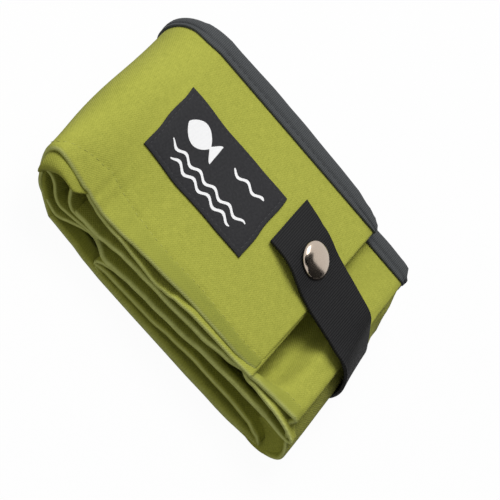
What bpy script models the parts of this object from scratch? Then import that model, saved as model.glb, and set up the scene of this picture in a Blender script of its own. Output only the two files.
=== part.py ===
"""Foldable fabric litter box, shown packed away.

The box is a rectangular tub sewn from coated cloth: two long walls, two end walls and a base,
with a dark tape bound over the rim. To pack it, the walls are laid flat on each other, so that
the base folds in between them, and the long strip that this makes is folded in thirds. The last
third is the flap on top. A webbing strap comes up round the open end and snaps onto the flap.

The bundle lies along X, with the rounded shoulder of the last fold at -X and the open end at +X.
The rim of the box is the +Y side and its base the -Y side. The underside lies on z = 0.
"""

import math

import bpy
from mathutils import Matrix, Vector

# Driving sizes of the bundle
WALL_HEIGHT = 0.0980
BUNDLE_HEIGHT = 0.0335
SHOULDER_X = -0.0600
SHOULDER_BULGE = 0.0197
FLAP_PIVOT_X = -0.0840
FLAP_END_X = 0.0310
CREASE_X = 0.0535
INNER_START_X = -0.0560
UNDERSIDE_END_X = 0.0570
RIM_Y = WALL_HEIGHT / 2
BASE_Y = -WALL_HEIGHT / 2

# Cloth, tape and their clearances
CLOTH = 0.0009
LINER_CLOTH = 0.0006
FIT = 0.00035
TAPE = 0.0008
TAPE_WIDTH = 0.0088
TAPE_FIT = 0.0003
BOUND_EDGE = CLOTH + 2 * (TAPE + TAPE_FIT)
CLOTH_RIM_Y = RIM_Y - TAPE - TAPE_FIT
BAND_MARGIN = 0.0015
BAND_Y = RIM_Y - TAPE_WIDTH - BAND_MARGIN
FOLD_RADIUS = 0.00065
UNDERSIDE_FOLD_RADIUS = 0.0012
FOLD_RETURN = 0.0070
PLEAT_FOLD_RADIUS = 0.0006
UNDER_PLEAT_FOLD_RADIUS = 0.0009
SECTION_GAP = 0.0004

# Stack heights in the middle of the walls, worked down from the top of the bundle
FLAP_FRONT_Z = BUNDLE_HEIGHT - (BOUND_EDGE - CLOTH) / 4 - CLOTH / 2
LINER_STEP = LINER_CLOTH + FIT
CLOTH_STEP = CLOTH + FIT
FLAP_BACK_Z = FLAP_FRONT_Z - CLOTH_STEP - LINER_STEP
INNER_FRONT_Z = FLAP_BACK_Z - CLOTH_STEP
INNER_BACK_Z = INNER_FRONT_Z - CLOTH_STEP - LINER_STEP
UNDER_FRONT_Z = CLOTH / 2
PLEAT_ROOM = 2 * PLEAT_FOLD_RADIUS + LINER_CLOTH + FIT

# Stack heights at the bound rim, one bound edge below the other
RIM_STEP = BOUND_EDGE + FIT
FLAP_FRONT_RIM_Z = BUNDLE_HEIGHT - BOUND_EDGE / 2
FLAP_BACK_RIM_Z = FLAP_FRONT_RIM_Z - RIM_STEP
INNER_FRONT_RIM_Z = FLAP_BACK_RIM_Z - RIM_STEP
INNER_BACK_RIM_Z = INNER_FRONT_RIM_Z - RIM_STEP
UNDER_FRONT_RIM_Z = BOUND_EDGE / 2
UNDER_BACK_RIM_SHARE = 0.36

# Where the rows of a wall lie between its bound rim and its base edge
ROW_SHARES = (0.20, 0.42, 0.64, 0.78, 0.90, 1.0)
MIDDLE_SHARE = 0.55
FOLD_STEPS = 4
STATIONS = 12
TURN_STATIONS = 12

# Base edges: (share of the length from shoulder to crease, share of the bundle's height)
FLAP_SAG_SHARES = ((0.0, 0.05), (0.12, 0.12), (0.26, 0.04), (0.40, 0.0), (1.0, 0.0))
FLAP_BACK_EDGE_SHARES = (
    (0.0, 0.79), (0.14, 0.81), (0.25, 0.80), (0.38, 0.78), (0.46, 0.82), (0.58, 0.90), (1.0, 0.93),
)
INNER_EDGE_SHARES = (
    (0.0, 0.50), (0.15, 0.59), (0.30, 0.66), (0.42, 0.71), (0.58, 0.80), (0.78, 0.83),
    (0.90, 0.89), (1.0, 0.90),
)
UNDER_BACK_EDGE_SHARES = (
    (0.0, 0.25), (0.13, 0.26), (0.23, 0.30), (0.33, 0.40), (0.48, 0.46), (0.75, 0.51),
    (0.90, 0.60), (1.0, 0.66),
)
UNDER_BACK_MIDDLE_SHARES = ((0.0, 0.26), (0.5, 0.45), (1.0, 0.55))
UNDER_PLEAT_EDGE_SHARES = ((0.0, 0.17), (0.25, 0.17), (0.55, 0.19), (0.80, 0.29), (1.0, 0.29))
# How far the base edges draw in: (share of that length, share of the wall height)
OUTER_DRAW_SHARES = ((0.0, 0.025), (0.3, 0.0), (0.70, 0.0), (0.80, 0.018), (1.0, 0.035))
UNDER_DRAW_SHARES = ((0.0, 0.02), (0.25, 0.0), (0.85, 0.0), (0.94, 0.02), (1.0, 0.035))
HIDDEN_EDGE_INSET = 0.0080

# The turns at both ends
SHOULDER_INSET = 0.0030
SHOULDER_DRAW = 0.0045
SHOULDER_TUCK_POWER = 1.7
END_REACH_RIM = 0.0665
END_REACH_MIDDLE = 0.0710
END_REACH_EDGE = 0.0760
END_SHOULDER_RIM = 0.0580
END_SHOULDER_MIDDLE = 0.0625
END_SHOULDER_EDGE = 0.0665
END_SLOPE_SHARE = 0.76
END_DRAW = 0.0060
INNER_TURN_X = 0.0465
INNER_TURN_REACH = 0.0100
INNER_TURN_REACH_EDGE = 0.0140

# Pleats of the base and the end walls folded in between the long walls
FLAP_PLEAT_END_X = -0.0220
UNDER_PLEAT_START_X = -0.0360
UNDER_PLEAT_END_X = 0.0530
INNER_PLEAT_END_X = 0.0440
PLEAT_DEPTH = 0.0350
PLEAT_INSET = 0.0075
FLAP_PLEAT_INSET = 0.0230
PLEAT_ROWS = 4
END_WALL_LENGTH = 0.0310
END_WALL_SET_BACK = 0.0200
END_WALL_MARGIN = 0.0100
BACK_WALL_SET_BACK = 0.0080

# Sewn label
LABEL_LENGTH = 0.0550
LABEL_WIDTH = 0.0365
LABEL_THICKNESS = 0.0007
LABEL_X = -0.0310
LABEL_Y = 0.0002

# Webbing strap
STRAP_WIDTH = 0.0260
STRAP_THICKNESS = 0.0013
STRAP_SKEW = math.radians(12.5)
STRAP_TIP_X = 0.0020
STRAP_CREASE_X = 0.0535
STRAP_CREASE_Y = -0.0008
STRAP_LIFT = 0.0021
STRAP_FIT = 0.0006
STRAP_FLAT = 0.0085
STRAP_STANDOFF = 0.0009
STRAP_TAIL_FOOT_SHARE = 0.20
STRAP_HINGE_SHARE = 0.40
STRAP_BEND_GAP = 0.0005
STRAP_SWING_GAP = 0.0015
STRAP_STATIONS = 7
STRAP_COLUMNS = 5
CREASE_BLEND_SHARE = 0.6

# Snap fastener
SNAP_CAP_DIAMETER = 0.0150
SNAP_CAP_RIM = 0.0007
SNAP_CAP_DOME = 0.0021
SNAP_X = 0.0192
SNAP_SOCKET_DIAMETER = 0.0105
SNAP_SOCKET_HEIGHT = 0.0013
SNAP_SOCKET_BORE = 0.0056
SNAP_STUD_FLANGE = 0.0100
SNAP_STUD_FLANGE_HEIGHT = 0.0005
SNAP_STUD_NECK = 0.0038
SNAP_STUD_KNOB = 0.0044
SNAP_STUD_HEIGHT = 0.0015
SNAP_POST_DIAMETER = 0.0090
SNAP_POST_HEIGHT = 0.0005
SNAP_SHANK = 0.0026
SNAP_FIT = 0.0003
SNAP_SIDES = 28
DOME_STEPS = 6

LENGTH = CREASE_X - SHOULDER_X

# Pieces that move, by the starts of their names
FLAP_NODES = (
    "front_wall_flap", "back_wall_flap", "base_pleat_flap", "end_wall_flap", "label_patch",
    "rim_binding_flap", "snap_stud", "snap_post",
)
TONGUE_NODES = ("strap_tongue", "snap_cap", "snap_socket")


def clear_scene():
    for thing in list(bpy.data.objects):
        bpy.data.objects.remove(thing, do_unlink=True)


def material(name, colour, roughness, metallic=0.0):
    made = bpy.data.materials.new(name)
    made.use_nodes = True
    shader = made.node_tree.nodes["Principled BSDF"]
    shader.inputs["Base Color"].default_value = (*colour, 1.0)
    shader.inputs["Roughness"].default_value = roughness
    shader.inputs["Metallic"].default_value = metallic
    return made


def mix(first, second, share):
    return first + (second - first) * share


def ease(share):
    share = min(max(share, 0.0), 1.0)
    return share * share * (3 - 2 * share)


def read(table, at):
    """The value of a hand-chosen table at a share, eased from each station to the next."""
    for (start, low), (end, high) in zip(table, table[1:]):
        if at <= end:
            return mix(low, high, ease((at - start) / (end - start)))
    return table[-1][1]


def spaced(start, end, count):
    return [mix(start, end, step / (count - 1)) for step in range(count)]


def place(name, mesh, finish):
    made = bpy.data.objects.new(name, mesh)
    made.data.materials.append(finish)
    bpy.context.scene.collection.objects.link(made)
    return made


def grid_mesh(name, rows):
    """A surface through rows of points. Its faces look along (next row) x (next point)."""
    width = len(rows[0])
    points = [point for row in rows for point in row]
    faces = []
    for row in range(len(rows) - 1):
        for step in range(width - 1):
            first = row * width + step
            faces.append((first, first + width, first + width + 1, first + 1))
    mesh = bpy.data.meshes.new(name)
    mesh.from_pydata(points, [], faces)
    mesh.update()
    return mesh


def sheet(name, rows, thickness, finish):
    """Cloth of one thickness, half on each side of the surface through the rows."""
    made = place(name, grid_mesh(name, rows), finish)
    skin = made.modifiers.new("cloth thickness", "SOLIDIFY")
    skin.thickness = thickness
    skin.offset = 0.0
    made.data.shade_smooth()
    made.data.set_sharp_from_angle(angle=math.radians(60))
    return made


def folded_edge(edge, base_y, inward, radius, back):
    """The wall's base edge folded over: half a turn towards the inward side, and a short return."""
    x, z = edge
    side, up = inward
    points = []
    for step in range(1, FOLD_STEPS + 1):
        angle = math.pi * step / FOLD_STEPS
        rise = radius * (1 - math.cos(angle))
        y = base_y + radius - radius * math.sin(angle)
        points.append(Vector((x + side * rise, y, z + up * rise)))
    points.append(Vector((x + side * 2 * radius, base_y + radius + back, z + up * 2 * radius)))
    return points


def across(rim, middle, edge, share):
    """The (x, z) of a wall at a share of the way from its bound rim to its base edge."""
    if share <= MIDDLE_SHARE:
        part = ease(share / MIDDLE_SHARE)
        return mix(rim[0], middle[0], part), mix(rim[1], middle[1], part)
    part = ease((share - MIDDLE_SHARE) / (1 - MIDDLE_SHARE))
    return mix(middle[0], edge[0], part), mix(middle[1], edge[1], part)


def wall_row(rim, middle, edge, base_y, inward, radius=FOLD_RADIUS, back=FOLD_RETURN):
    """Points across a wall, from its bound rim to its folded base edge. Each end is an (x, z)."""
    points = [Vector((rim[0], CLOTH_RIM_Y, rim[1])), Vector((rim[0], BAND_Y, rim[1]))]
    for share in ROW_SHARES:
        x, z = across(rim, middle, edge, share)
        points.append(Vector((x, mix(BAND_Y, base_y + radius, share), z)))
    return points + folded_edge(edge, base_y, inward, radius, back)


def height_on(row, y):
    """The height of a wall's row of points at a place across it."""
    for first, after in zip(row, row[1:]):
        if after.y <= y <= first.y and after.y < first.y:
            return mix(first.z, after.z, (first.y - y) / (first.y - after.y))
    return row[len(ROW_SHARES) + 1].z


def bundle_share(x):
    return (x - SHOULDER_X) / LENGTH


def outer_base_y(x):
    return BASE_Y + WALL_HEIGHT * read(OUTER_DRAW_SHARES, bundle_share(x))


def under_base_y(x):
    return BASE_Y + WALL_HEIGHT * read(UNDER_DRAW_SHARES, bundle_share(x))


def flap_front_edge_z(x):
    return FLAP_FRONT_Z - BUNDLE_HEIGHT * read(FLAP_SAG_SHARES, bundle_share(x))


def flap_back_edge_z(x):
    below = flap_front_edge_z(x) - 2 * FOLD_RADIUS - CLOTH_STEP
    return min(BUNDLE_HEIGHT * read(FLAP_BACK_EDGE_SHARES, bundle_share(x)), below)


def inner_front_edge_z(x):
    wanted = BUNDLE_HEIGHT * read(INNER_EDGE_SHARES, bundle_share(x))
    if x > FLAP_END_X + CLOTH:
        return wanted
    return min(wanted, flap_back_edge_z(x) - 2 * FOLD_RADIUS - CLOTH_STEP)


def inner_back_edge_z(x):
    return inner_front_edge_z(x) - 2 * FOLD_RADIUS - CLOTH_STEP - PLEAT_ROOM


def under_back_edge_z(x):
    return BUNDLE_HEIGHT * read(UNDER_BACK_EDGE_SHARES, bundle_share(x))


def under_back_middle_z(x):
    return BUNDLE_HEIGHT * read(UNDER_BACK_MIDDLE_SHARES, bundle_share(x))


def pleat_drop(x):
    """Room that the flap's pleat takes between its two walls, closing up past the pleat's end."""
    return PLEAT_ROOM * (1 - ease((x - FLAP_PLEAT_END_X) / (FLAP_END_X - FLAP_PLEAT_END_X)))


DOWN = (0.0, -1.0)
UP = (0.0, 1.0)


def flap_front_row(x):
    edge = (x, flap_front_edge_z(x))
    return wall_row((x, FLAP_FRONT_RIM_Z), (x, FLAP_FRONT_Z), edge, outer_base_y(x), DOWN)


def flap_back_row(x):
    middle = (x, FLAP_BACK_Z - pleat_drop(x))
    return wall_row((x, FLAP_BACK_RIM_Z), middle, (x, flap_back_edge_z(x)), outer_base_y(x), DOWN)


def inner_front_row(x):
    middle = (x, INNER_FRONT_Z - pleat_drop(x))
    return wall_row((x, INNER_FRONT_RIM_Z), middle, (x, inner_front_edge_z(x)), outer_base_y(x), DOWN)


def inner_back_row(x):
    middle = (x, INNER_BACK_Z - pleat_drop(x) - PLEAT_ROOM)
    base_y = outer_base_y(x) + HIDDEN_EDGE_INSET
    return wall_row((x, INNER_BACK_RIM_Z), middle, (x, inner_back_edge_z(x)), base_y, DOWN)


def under_back_row(x):
    rim = (x, BUNDLE_HEIGHT * UNDER_BACK_RIM_SHARE)
    return wall_row(rim, (x, under_back_middle_z(x)), (x, under_back_edge_z(x)), under_base_y(x), DOWN)


def under_front_row(x):
    flat = (x, UNDER_FRONT_Z)
    return wall_row((x, UNDER_FRONT_RIM_Z), flat, flat, under_base_y(x), UP, UNDERSIDE_FOLD_RADIUS)


def shoulder_point(angle, top_z, low_z, bulge, power=1.0):
    """A point (x, z) of the round shoulder, at an angle from 0 at its top to pi at its foot."""
    centre = BUNDLE_HEIGHT / 2
    reach = top_z - centre if angle < math.pi / 2 else centre - low_z
    outward = math.sin(angle) ** (power if angle > math.pi / 2 else 1.0)
    return (SHOULDER_X - bulge * outward, centre + reach * math.cos(angle))


def shoulder_rows(heights, bulges):
    rows = []
    for angle in spaced(0.0, math.pi, TURN_STATIONS):
        rim, middle, edge = (
            shoulder_point(angle, top, low, bulge, power)
            for (top, low), bulge, power in zip(heights, bulges, (1.0, 1.0, SHOULDER_TUCK_POWER))
        )
        base_y = outer_base_y(SHOULDER_X) + SHOULDER_DRAW * math.sin(angle)
        rows.append(wall_row(rim, middle, edge, base_y, (math.sin(angle), -math.cos(angle))))
    return rows


def curve_point(start, first, second, end, share):
    """A point of the cubic curve that leaves start towards first and reaches end from second."""
    rest = 1 - share
    weights = (rest**3, 3 * rest**2 * share, 3 * rest * share**2, share**3)
    return tuple(sum(w * p[axis] for w, p in zip(weights, (start, first, second, end))) for axis in (0, 1))


def curve_inward(start, first, second, end, share):
    """Square to that curve, on the side of the bundle."""
    step = 1 / TURN_STATIONS**2
    x0, z0 = curve_point(start, first, second, end, max(share - step, 0.0))
    x1, z1 = curve_point(start, first, second, end, min(share + step, 1.0))
    length = math.hypot(x1 - x0, z1 - z0)
    return (-(z1 - z0) / length, (x1 - x0) / length)


def turn_rows(curves, base_y_at):
    """Rows of a wall that turns: one curve each for its rim, its middle and its base edge."""
    rows = []
    for share in spaced(0.0, 1.0, TURN_STATIONS):
        rim, middle, edge = (curve_point(*curve, share) for curve in curves)
        rows.append(wall_row(rim, middle, edge, base_y_at(share), curve_inward(*curves[2], share)))
    return rows


def outer_end_curves():
    stack = (
        (UNDER_FRONT_RIM_Z, INNER_FRONT_RIM_Z, END_REACH_RIM, END_SHOULDER_RIM, BOUND_EDGE / 2),
        (UNDER_FRONT_Z, INNER_FRONT_Z, END_REACH_MIDDLE, END_SHOULDER_MIDDLE, CLOTH),
        (UNDER_FRONT_Z, inner_front_edge_z(CREASE_X), END_REACH_EDGE, END_SHOULDER_EDGE, CLOTH),
    )
    foot_x = UNDERSIDE_END_X + SECTION_GAP
    return [
        ((foot_x, low), (reach, low), (slope_x, mix(low, top, END_SLOPE_SHARE)), (CREASE_X + gap, top))
        for low, top, reach, slope_x, gap in stack
    ]


def inner_end_curves():
    x = INNER_TURN_X + SECTION_GAP
    drop = pleat_drop(x) + PLEAT_ROOM
    stack = (
        (BUNDLE_HEIGHT * UNDER_BACK_RIM_SHARE, INNER_BACK_RIM_Z, INNER_TURN_REACH),
        (under_back_middle_z(x), INNER_BACK_Z - drop, INNER_TURN_REACH),
        (under_back_edge_z(x), inner_back_edge_z(x), INNER_TURN_REACH_EDGE),
    )
    return [((x, low), (x + reach, low), (x + reach, top), (x, top)) for low, top, reach in stack]


def tape_section(inside, outside, y_in, y_out):
    """Outline of the folded tape, round the cloth's edge, as (distance along the normal, y)."""
    return (
        (outside, y_in), (outside, y_out - TAPE / 2), (outside - TAPE / 2, y_out),
        (TAPE / 2 - outside, y_out), (-outside, y_out - TAPE / 2), (-outside, y_in),
        (-inside, y_in), (-inside, y_out - TAPE), (inside, y_out - TAPE), (inside, y_in),
    )


def binding(name, path, finish):
    """Tape folded over a wall's rim and sewn down on both faces, along a path of (x, z)."""
    inside = CLOTH / 2 + TAPE_FIT
    outline = tape_section(inside, inside + TAPE, RIM_Y - TAPE_WIDTH, RIM_Y)
    rings = []
    for step, (x, z) in enumerate(path):
        before = path[max(step - 1, 0)]
        after = path[min(step + 1, len(path) - 1)]
        length = math.hypot(after[0] - before[0], after[1] - before[1])
        normal = (-(after[1] - before[1]) / length, (after[0] - before[0]) / length)
        rings.append([Vector((x + normal[0] * d, y, z + normal[1] * d)) for d, y in outline])
    count = len(outline)
    points = [point for ring in rings for point in ring]
    faces = []
    for ring in range(len(rings) - 1):
        for side in range(count):
            after = (side + 1) % count
            first = ring * count
            faces.append((first + side, first + count + side, first + count + after, first + after))
    legs = ((0, 1, 8, 9), (1, 2, 3, 4, 7, 8), (4, 5, 6, 7))
    last = (len(rings) - 1) * count
    for leg in legs:
        faces.append(leg)
        faces.append(tuple(last + corner for corner in reversed(leg)))
    mesh = bpy.data.meshes.new(name)
    mesh.from_pydata(points, [], faces)
    mesh.update()
    return place(name, mesh, finish)


def pleat(name, xs, y_fold, middle_z, radius, finish):
    """A layer of the base folded in two: its fold looks out between the walls, its legs run inward."""
    rows = []
    for x in xs:
        legs = [(y, middle_z(x, y)) for y in spaced(y_fold + PLEAT_DEPTH, y_fold + 2 * radius, PLEAT_ROWS)]
        fold_z = middle_z(x, y_fold)
        points = [Vector((x, y, z + PLEAT_FOLD_RADIUS)) for y, z in legs]
        for step in range(FOLD_STEPS + 1):
            angle = math.pi * step / FOLD_STEPS
            y = y_fold + radius - radius * math.sin(angle)
            points.append(Vector((x, y, fold_z + radius * math.cos(angle))))
        points += [Vector((x, y, z - PLEAT_FOLD_RADIUS)) for y, z in reversed(legs)]
        rows.append(points)
    return sheet(name, rows, LINER_CLOTH, finish)


def flat_liner(name, xs, ys, height, finish):
    """An end wall folded flat between the long walls."""
    rows = [[Vector((x, y, height(x, y))) for y in ys] for x in xs]
    return sheet(name, rows, LINER_CLOTH, finish)


def turned(name, profile, centre, finish):
    """A round piece turned about the vertical, from a profile of (radius, height) off its centre."""
    rings = []
    for radius, height in profile:
        ring = []
        for side in range(SNAP_SIDES):
            angle = 2 * math.pi * side / SNAP_SIDES
            ring.append(centre + Vector((radius * math.cos(angle), radius * math.sin(angle), height)))
        rings.append(ring)
    closed = profile[0][0] > 0.0
    points = []
    starts = []
    for (radius, height), ring in zip(profile, rings):
        starts.append(len(points))
        points += ring if radius > 0.0 else [centre + Vector((0.0, 0.0, height))]
    pairs = list(range(len(profile) - 1)) + ([len(profile) - 1] if closed else [])
    faces = []
    for ring in pairs:
        after = (ring + 1) % len(profile)
        for side in range(SNAP_SIDES):
            turn = (side + 1) % SNAP_SIDES
            lower = (starts[ring] + side, starts[ring] + turn)
            upper = (starts[after] + turn, starts[after] + side)
            if profile[ring][0] == 0.0:
                faces.append((starts[ring], upper[0], upper[1]))
            elif profile[after][0] == 0.0:
                faces.append((lower[0], lower[1], starts[after]))
            else:
                faces.append(lower + upper)
    mesh = bpy.data.meshes.new(name)
    mesh.from_pydata(points, [], faces)
    mesh.update()
    made = place(name, mesh, finish)
    made.data.shade_smooth()
    made.data.set_sharp_from_angle(angle=math.radians(40))
    return made


def punch(target, centre, diameter, length):
    """A round hole through a sheet, made by a hidden cutter."""
    radius = diameter / 2
    cutter = turned(
        target.name + "_hole",
        [(0.0, -length), (radius, -length), (radius, length), (0.0, length)],
        centre,
        target.data.materials[0],
    )
    cutter.hide_render = True
    cutter.display_type = "WIRE"
    cut = target.modifiers.new("rivet hole", "BOOLEAN")
    cut.operation = "DIFFERENCE"
    cut.solver = "EXACT"
    cut.object = cutter


# Strap geometry: rows parallel to Y, each given by its centre (x, y, z)
FLAP_TOP_Z = FLAP_FRONT_Z + CLOTH / 2
STRAP_REST_Z = FLAP_TOP_Z + STRAP_FIT + STRAP_THICKNESS / 2
STRAP_SNAP_Z = STRAP_REST_Z + STRAP_LIFT
STRAP_CREASE_Z = FLAP_FRONT_Z
STRAP_HALF_Y = STRAP_WIDTH / 2 / math.cos(STRAP_SKEW)


def strap_y(x):
    """The strap's middle line over the flap, straight and skewed."""
    return STRAP_CREASE_Y + (STRAP_CREASE_X - x) * math.tan(STRAP_SKEW)


def tongue_rows():
    stations = (
        (STRAP_CREASE_X - STRAP_BEND_GAP, STRAP_CREASE_Z),
        (mix(STRAP_CREASE_X, FLAP_END_X, 0.5), mix(STRAP_CREASE_Z, STRAP_SNAP_Z, 0.5)),
        (FLAP_END_X, mix(STRAP_CREASE_Z, STRAP_SNAP_Z, 0.85)),
        (SNAP_X + STRAP_FLAT, STRAP_SNAP_Z),
        (SNAP_X, STRAP_SNAP_Z),
        (SNAP_X - STRAP_FLAT, STRAP_SNAP_Z),
        (mix(SNAP_X - STRAP_FLAT, STRAP_TIP_X, 0.6), mix(STRAP_SNAP_Z, STRAP_REST_Z, 0.6)),
        (STRAP_TIP_X, STRAP_REST_Z),
    )
    rows = []
    for x, z in stations:
        ys = spaced(strap_y(x) - STRAP_HALF_Y, strap_y(x) + STRAP_HALF_Y, STRAP_COLUMNS)
        rows.append([Vector((x, y, z)) for y in ys])
    return rows


def end_surface(curves, share, y):
    """A point (x, z) of the sloping end and its outward direction, at a place across it."""
    points = [curve_point(*curve, share) for curve in curves]
    part = (BAND_Y - y) / (BAND_Y - outer_base_y(CREASE_X))
    x, z = across(*points, min(max(part, 0.0), 1.0))
    side, up = curve_inward(*curves[1], share)
    return (x, z), (-side, -up)


def slope_length(curves):
    points = [curve_point(*curves[1], share) for share in spaced(0.0, 1.0, TURN_STATIONS)]
    return sum(math.dist(first, after) for first, after in zip(points, points[1:]))


def strap_end_rows(start_share, end_share, to_crease):
    """Rows of the strap over the sloping end, from one share of the slope up to another."""
    curves = outer_end_curves()
    away = CLOTH / 2 + STRAP_STANDOFF + STRAP_THICKNESS / 2
    top, _ = end_surface(curves, 1.0, STRAP_CREASE_Y)
    rows = []
    for share in spaced(start_share, end_share, STRAP_STATIONS):
        middle, _ = end_surface(curves, share, STRAP_CREASE_Y)
        centre_y = STRAP_CREASE_Y - math.tan(STRAP_SKEW) * math.dist(middle, top)
        lift = to_crease * ease((share - CREASE_BLEND_SHARE) / (1 - CREASE_BLEND_SHARE))
        row = []
        for y in spaced(centre_y - STRAP_HALF_Y, centre_y + STRAP_HALF_Y, STRAP_COLUMNS):
            (x, z), (side, up) = end_surface(curves, share, y)
            point = Vector((x + side * away, y, max(z + up * away, STRAP_THICKNESS)))
            crease = Vector((STRAP_CREASE_X + STRAP_BEND_GAP, y, STRAP_CREASE_Z - STRAP_BEND_GAP))
            row.append(point.lerp(crease, lift))
        rows.append(row)
    return rows


def strap_pivot():
    """The line that the strap swings about, parallel to Y, where its sewn foot ends: (x, z)."""
    row = strap_end_rows(STRAP_HINGE_SHARE, STRAP_HINGE_SHARE, 0)[0]
    middle = row[len(row) // 2]
    return middle.x, middle.z


def between_z(upper_row, lower_row, x, y):
    return mix(height_on(upper_row(x), y), height_on(lower_row(x), y), 0.5)


def build():
    clear_scene()
    green = material("green_oxford_cloth", (0.37, 0.39, 0.06), 0.82)
    dark = material("dark_rim_tape", (0.07, 0.075, 0.08), 0.75)
    label = material("charcoal_label", (0.035, 0.035, 0.038), 0.7)
    webbing = material("black_webbing", (0.02, 0.02, 0.022), 0.8)
    nickel = material("nickel_snap", (0.72, 0.68, 0.63), 0.25, 1.0)

    half_gap = SECTION_GAP / 2
    flap_xs = spaced(SHOULDER_X + half_gap, FLAP_END_X, STATIONS)
    back_flap_xs = spaced(SHOULDER_X + half_gap, FLAP_END_X - BACK_WALL_SET_BACK, STATIONS)
    under_xs = spaced(SHOULDER_X + half_gap, UNDERSIDE_END_X, STATIONS)
    under_back_xs = spaced(SHOULDER_X + half_gap, INNER_TURN_X, STATIONS)
    inner_xs = spaced(INNER_START_X, CREASE_X - half_gap, STATIONS)
    inner_back_xs = spaced(INNER_START_X, INNER_TURN_X, STATIONS)

    def section(name, row_at, xs):
        return sheet(name, [row_at(x) for x in xs], CLOTH, green)

    flap = section("front_wall_flap", flap_front_row, flap_xs)
    section("back_wall_flap", flap_back_row, back_flap_xs)
    section("front_wall_inner", inner_front_row, inner_xs)
    section("back_wall_inner", inner_back_row, inner_back_xs)
    section("back_wall_underside", under_back_row, under_back_xs)
    section("front_wall_underside", under_front_row, under_xs)

    # Turns of both walls round the shoulder and the open end
    start = SHOULDER_X + half_gap
    outer_heights = (
        (FLAP_FRONT_RIM_Z, UNDER_FRONT_RIM_Z),
        (FLAP_FRONT_Z, UNDER_FRONT_Z),
        (flap_front_edge_z(start), UNDER_FRONT_Z),
    )
    sink = (BOUND_EDGE - CLOTH) / 2
    outer_bulges = (SHOULDER_BULGE - sink, SHOULDER_BULGE, SHOULDER_BULGE - SHOULDER_INSET)
    inner_heights = (
        (FLAP_BACK_RIM_Z, BUNDLE_HEIGHT * UNDER_BACK_RIM_SHARE),
        (FLAP_BACK_Z - pleat_drop(start), under_back_middle_z(start)),
        (flap_back_edge_z(start), under_back_edge_z(start)),
    )
    nest = CLOTH_STEP + LINER_STEP + PLEAT_ROOM
    inner_bulge = SHOULDER_BULGE - nest
    inner_bulges = (SHOULDER_BULGE - sink - RIM_STEP, inner_bulge, inner_bulge - SHOULDER_INSET)
    shoulder_outer = shoulder_rows(outer_heights, outer_bulges)
    shoulder_inner = shoulder_rows(inner_heights, inner_bulges)
    sheet("front_wall_shoulder", shoulder_outer, CLOTH, green)
    sheet("back_wall_shoulder", shoulder_inner, CLOTH, green)

    def outer_end_base_y(share):
        draw = END_DRAW * math.sin(math.pi * (1 - share)) * (1 - share)
        return mix(under_base_y(UNDERSIDE_END_X), outer_base_y(CREASE_X), share) + draw

    def inner_end_base_y(share):
        return mix(under_base_y(INNER_TURN_X), outer_base_y(INNER_TURN_X) + HIDDEN_EDGE_INSET, share)

    end_outer = turn_rows(outer_end_curves(), outer_end_base_y)
    end_inner = turn_rows(inner_end_curves(), inner_end_base_y)
    sheet("front_wall_end", end_outer, CLOTH, green)
    sheet("back_wall_end", end_inner, CLOTH, green)

    # Base pleats and end walls between the long walls
    pleat_y = BASE_Y + PLEAT_INSET
    inner_pleat_y = pleat_y + HIDDEN_EDGE_INSET / 2
    flap_pleat_xs = spaced(start, FLAP_PLEAT_END_X, STATIONS // 2)
    pleat(
        "base_pleat_flap", flap_pleat_xs, BASE_Y + FLAP_PLEAT_INSET,
        lambda x, y: between_z(flap_front_row, flap_back_row, x, y), PLEAT_FOLD_RADIUS, green,
    )
    pleat(
        "base_pleat_inner", spaced(INNER_START_X, INNER_PLEAT_END_X, STATIONS), inner_pleat_y,
        lambda x, y: between_z(inner_front_row, inner_back_row, x, y) - LINER_STEP / 2,
        PLEAT_FOLD_RADIUS, green,
    )

    pleat_half = PLEAT_FOLD_RADIUS + (CLOTH + LINER_CLOTH) / 2 + FIT

    def under_pleat_z(x, y):
        fold_z = BUNDLE_HEIGHT * read(UNDER_PLEAT_EDGE_SHARES, bundle_share(x))
        below_back = height_on(under_back_row(x), y) - pleat_half
        return mix(fold_z, below_back, ease((y - BASE_Y) / PLEAT_DEPTH))

    pleat(
        "base_pleat_underside", spaced(UNDER_PLEAT_START_X, UNDER_PLEAT_END_X, STATIONS), BASE_Y,
        under_pleat_z, UNDER_PLEAT_FOLD_RADIUS, green,
    )
    wall_ys = spaced(BAND_Y - END_WALL_MARGIN, BASE_Y + PLEAT_INSET + END_WALL_MARGIN, STATIONS // 2)
    below_front = CLOTH / 2 + FIT + LINER_CLOTH / 2
    flap_end_start = FLAP_END_X - END_WALL_SET_BACK
    flat_liner(
        "end_wall_flap", spaced(flap_end_start, flap_end_start - END_WALL_LENGTH, STATIONS // 2), wall_ys,
        lambda x, y: height_on(flap_front_row(x), y) - below_front, green,
    )
    flat_liner(
        "end_wall_inner", spaced(INNER_START_X + END_WALL_LENGTH, INNER_START_X, STATIONS // 2), wall_ys,
        lambda x, y: height_on(inner_front_row(x), y) - below_front, green,
    )

    # Rim binding of each section
    def straight(xs, z):
        return [(x, z) for x in (xs[0], xs[-1])]

    def rim_of(rows):
        return [(row[0].x, row[0].z) for row in rows]

    rims = {
        "flap_front": straight(flap_xs, FLAP_FRONT_RIM_Z),
        "flap_back": straight(back_flap_xs, FLAP_BACK_RIM_Z),
        "inner_front": straight(inner_xs, INNER_FRONT_RIM_Z),
        "inner_back": straight(inner_back_xs, INNER_BACK_RIM_Z),
        "underside_back": straight(under_back_xs, BUNDLE_HEIGHT * UNDER_BACK_RIM_SHARE),
        "underside_front": straight(under_xs, UNDER_FRONT_RIM_Z),
        "shoulder_front": rim_of(shoulder_outer),
        "shoulder_back": rim_of(shoulder_inner),
        "end_front": rim_of(end_outer),
        "end_back": rim_of(end_inner),
    }
    for place_name, path in rims.items():
        binding("rim_binding_" + place_name, path, dark)

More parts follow.
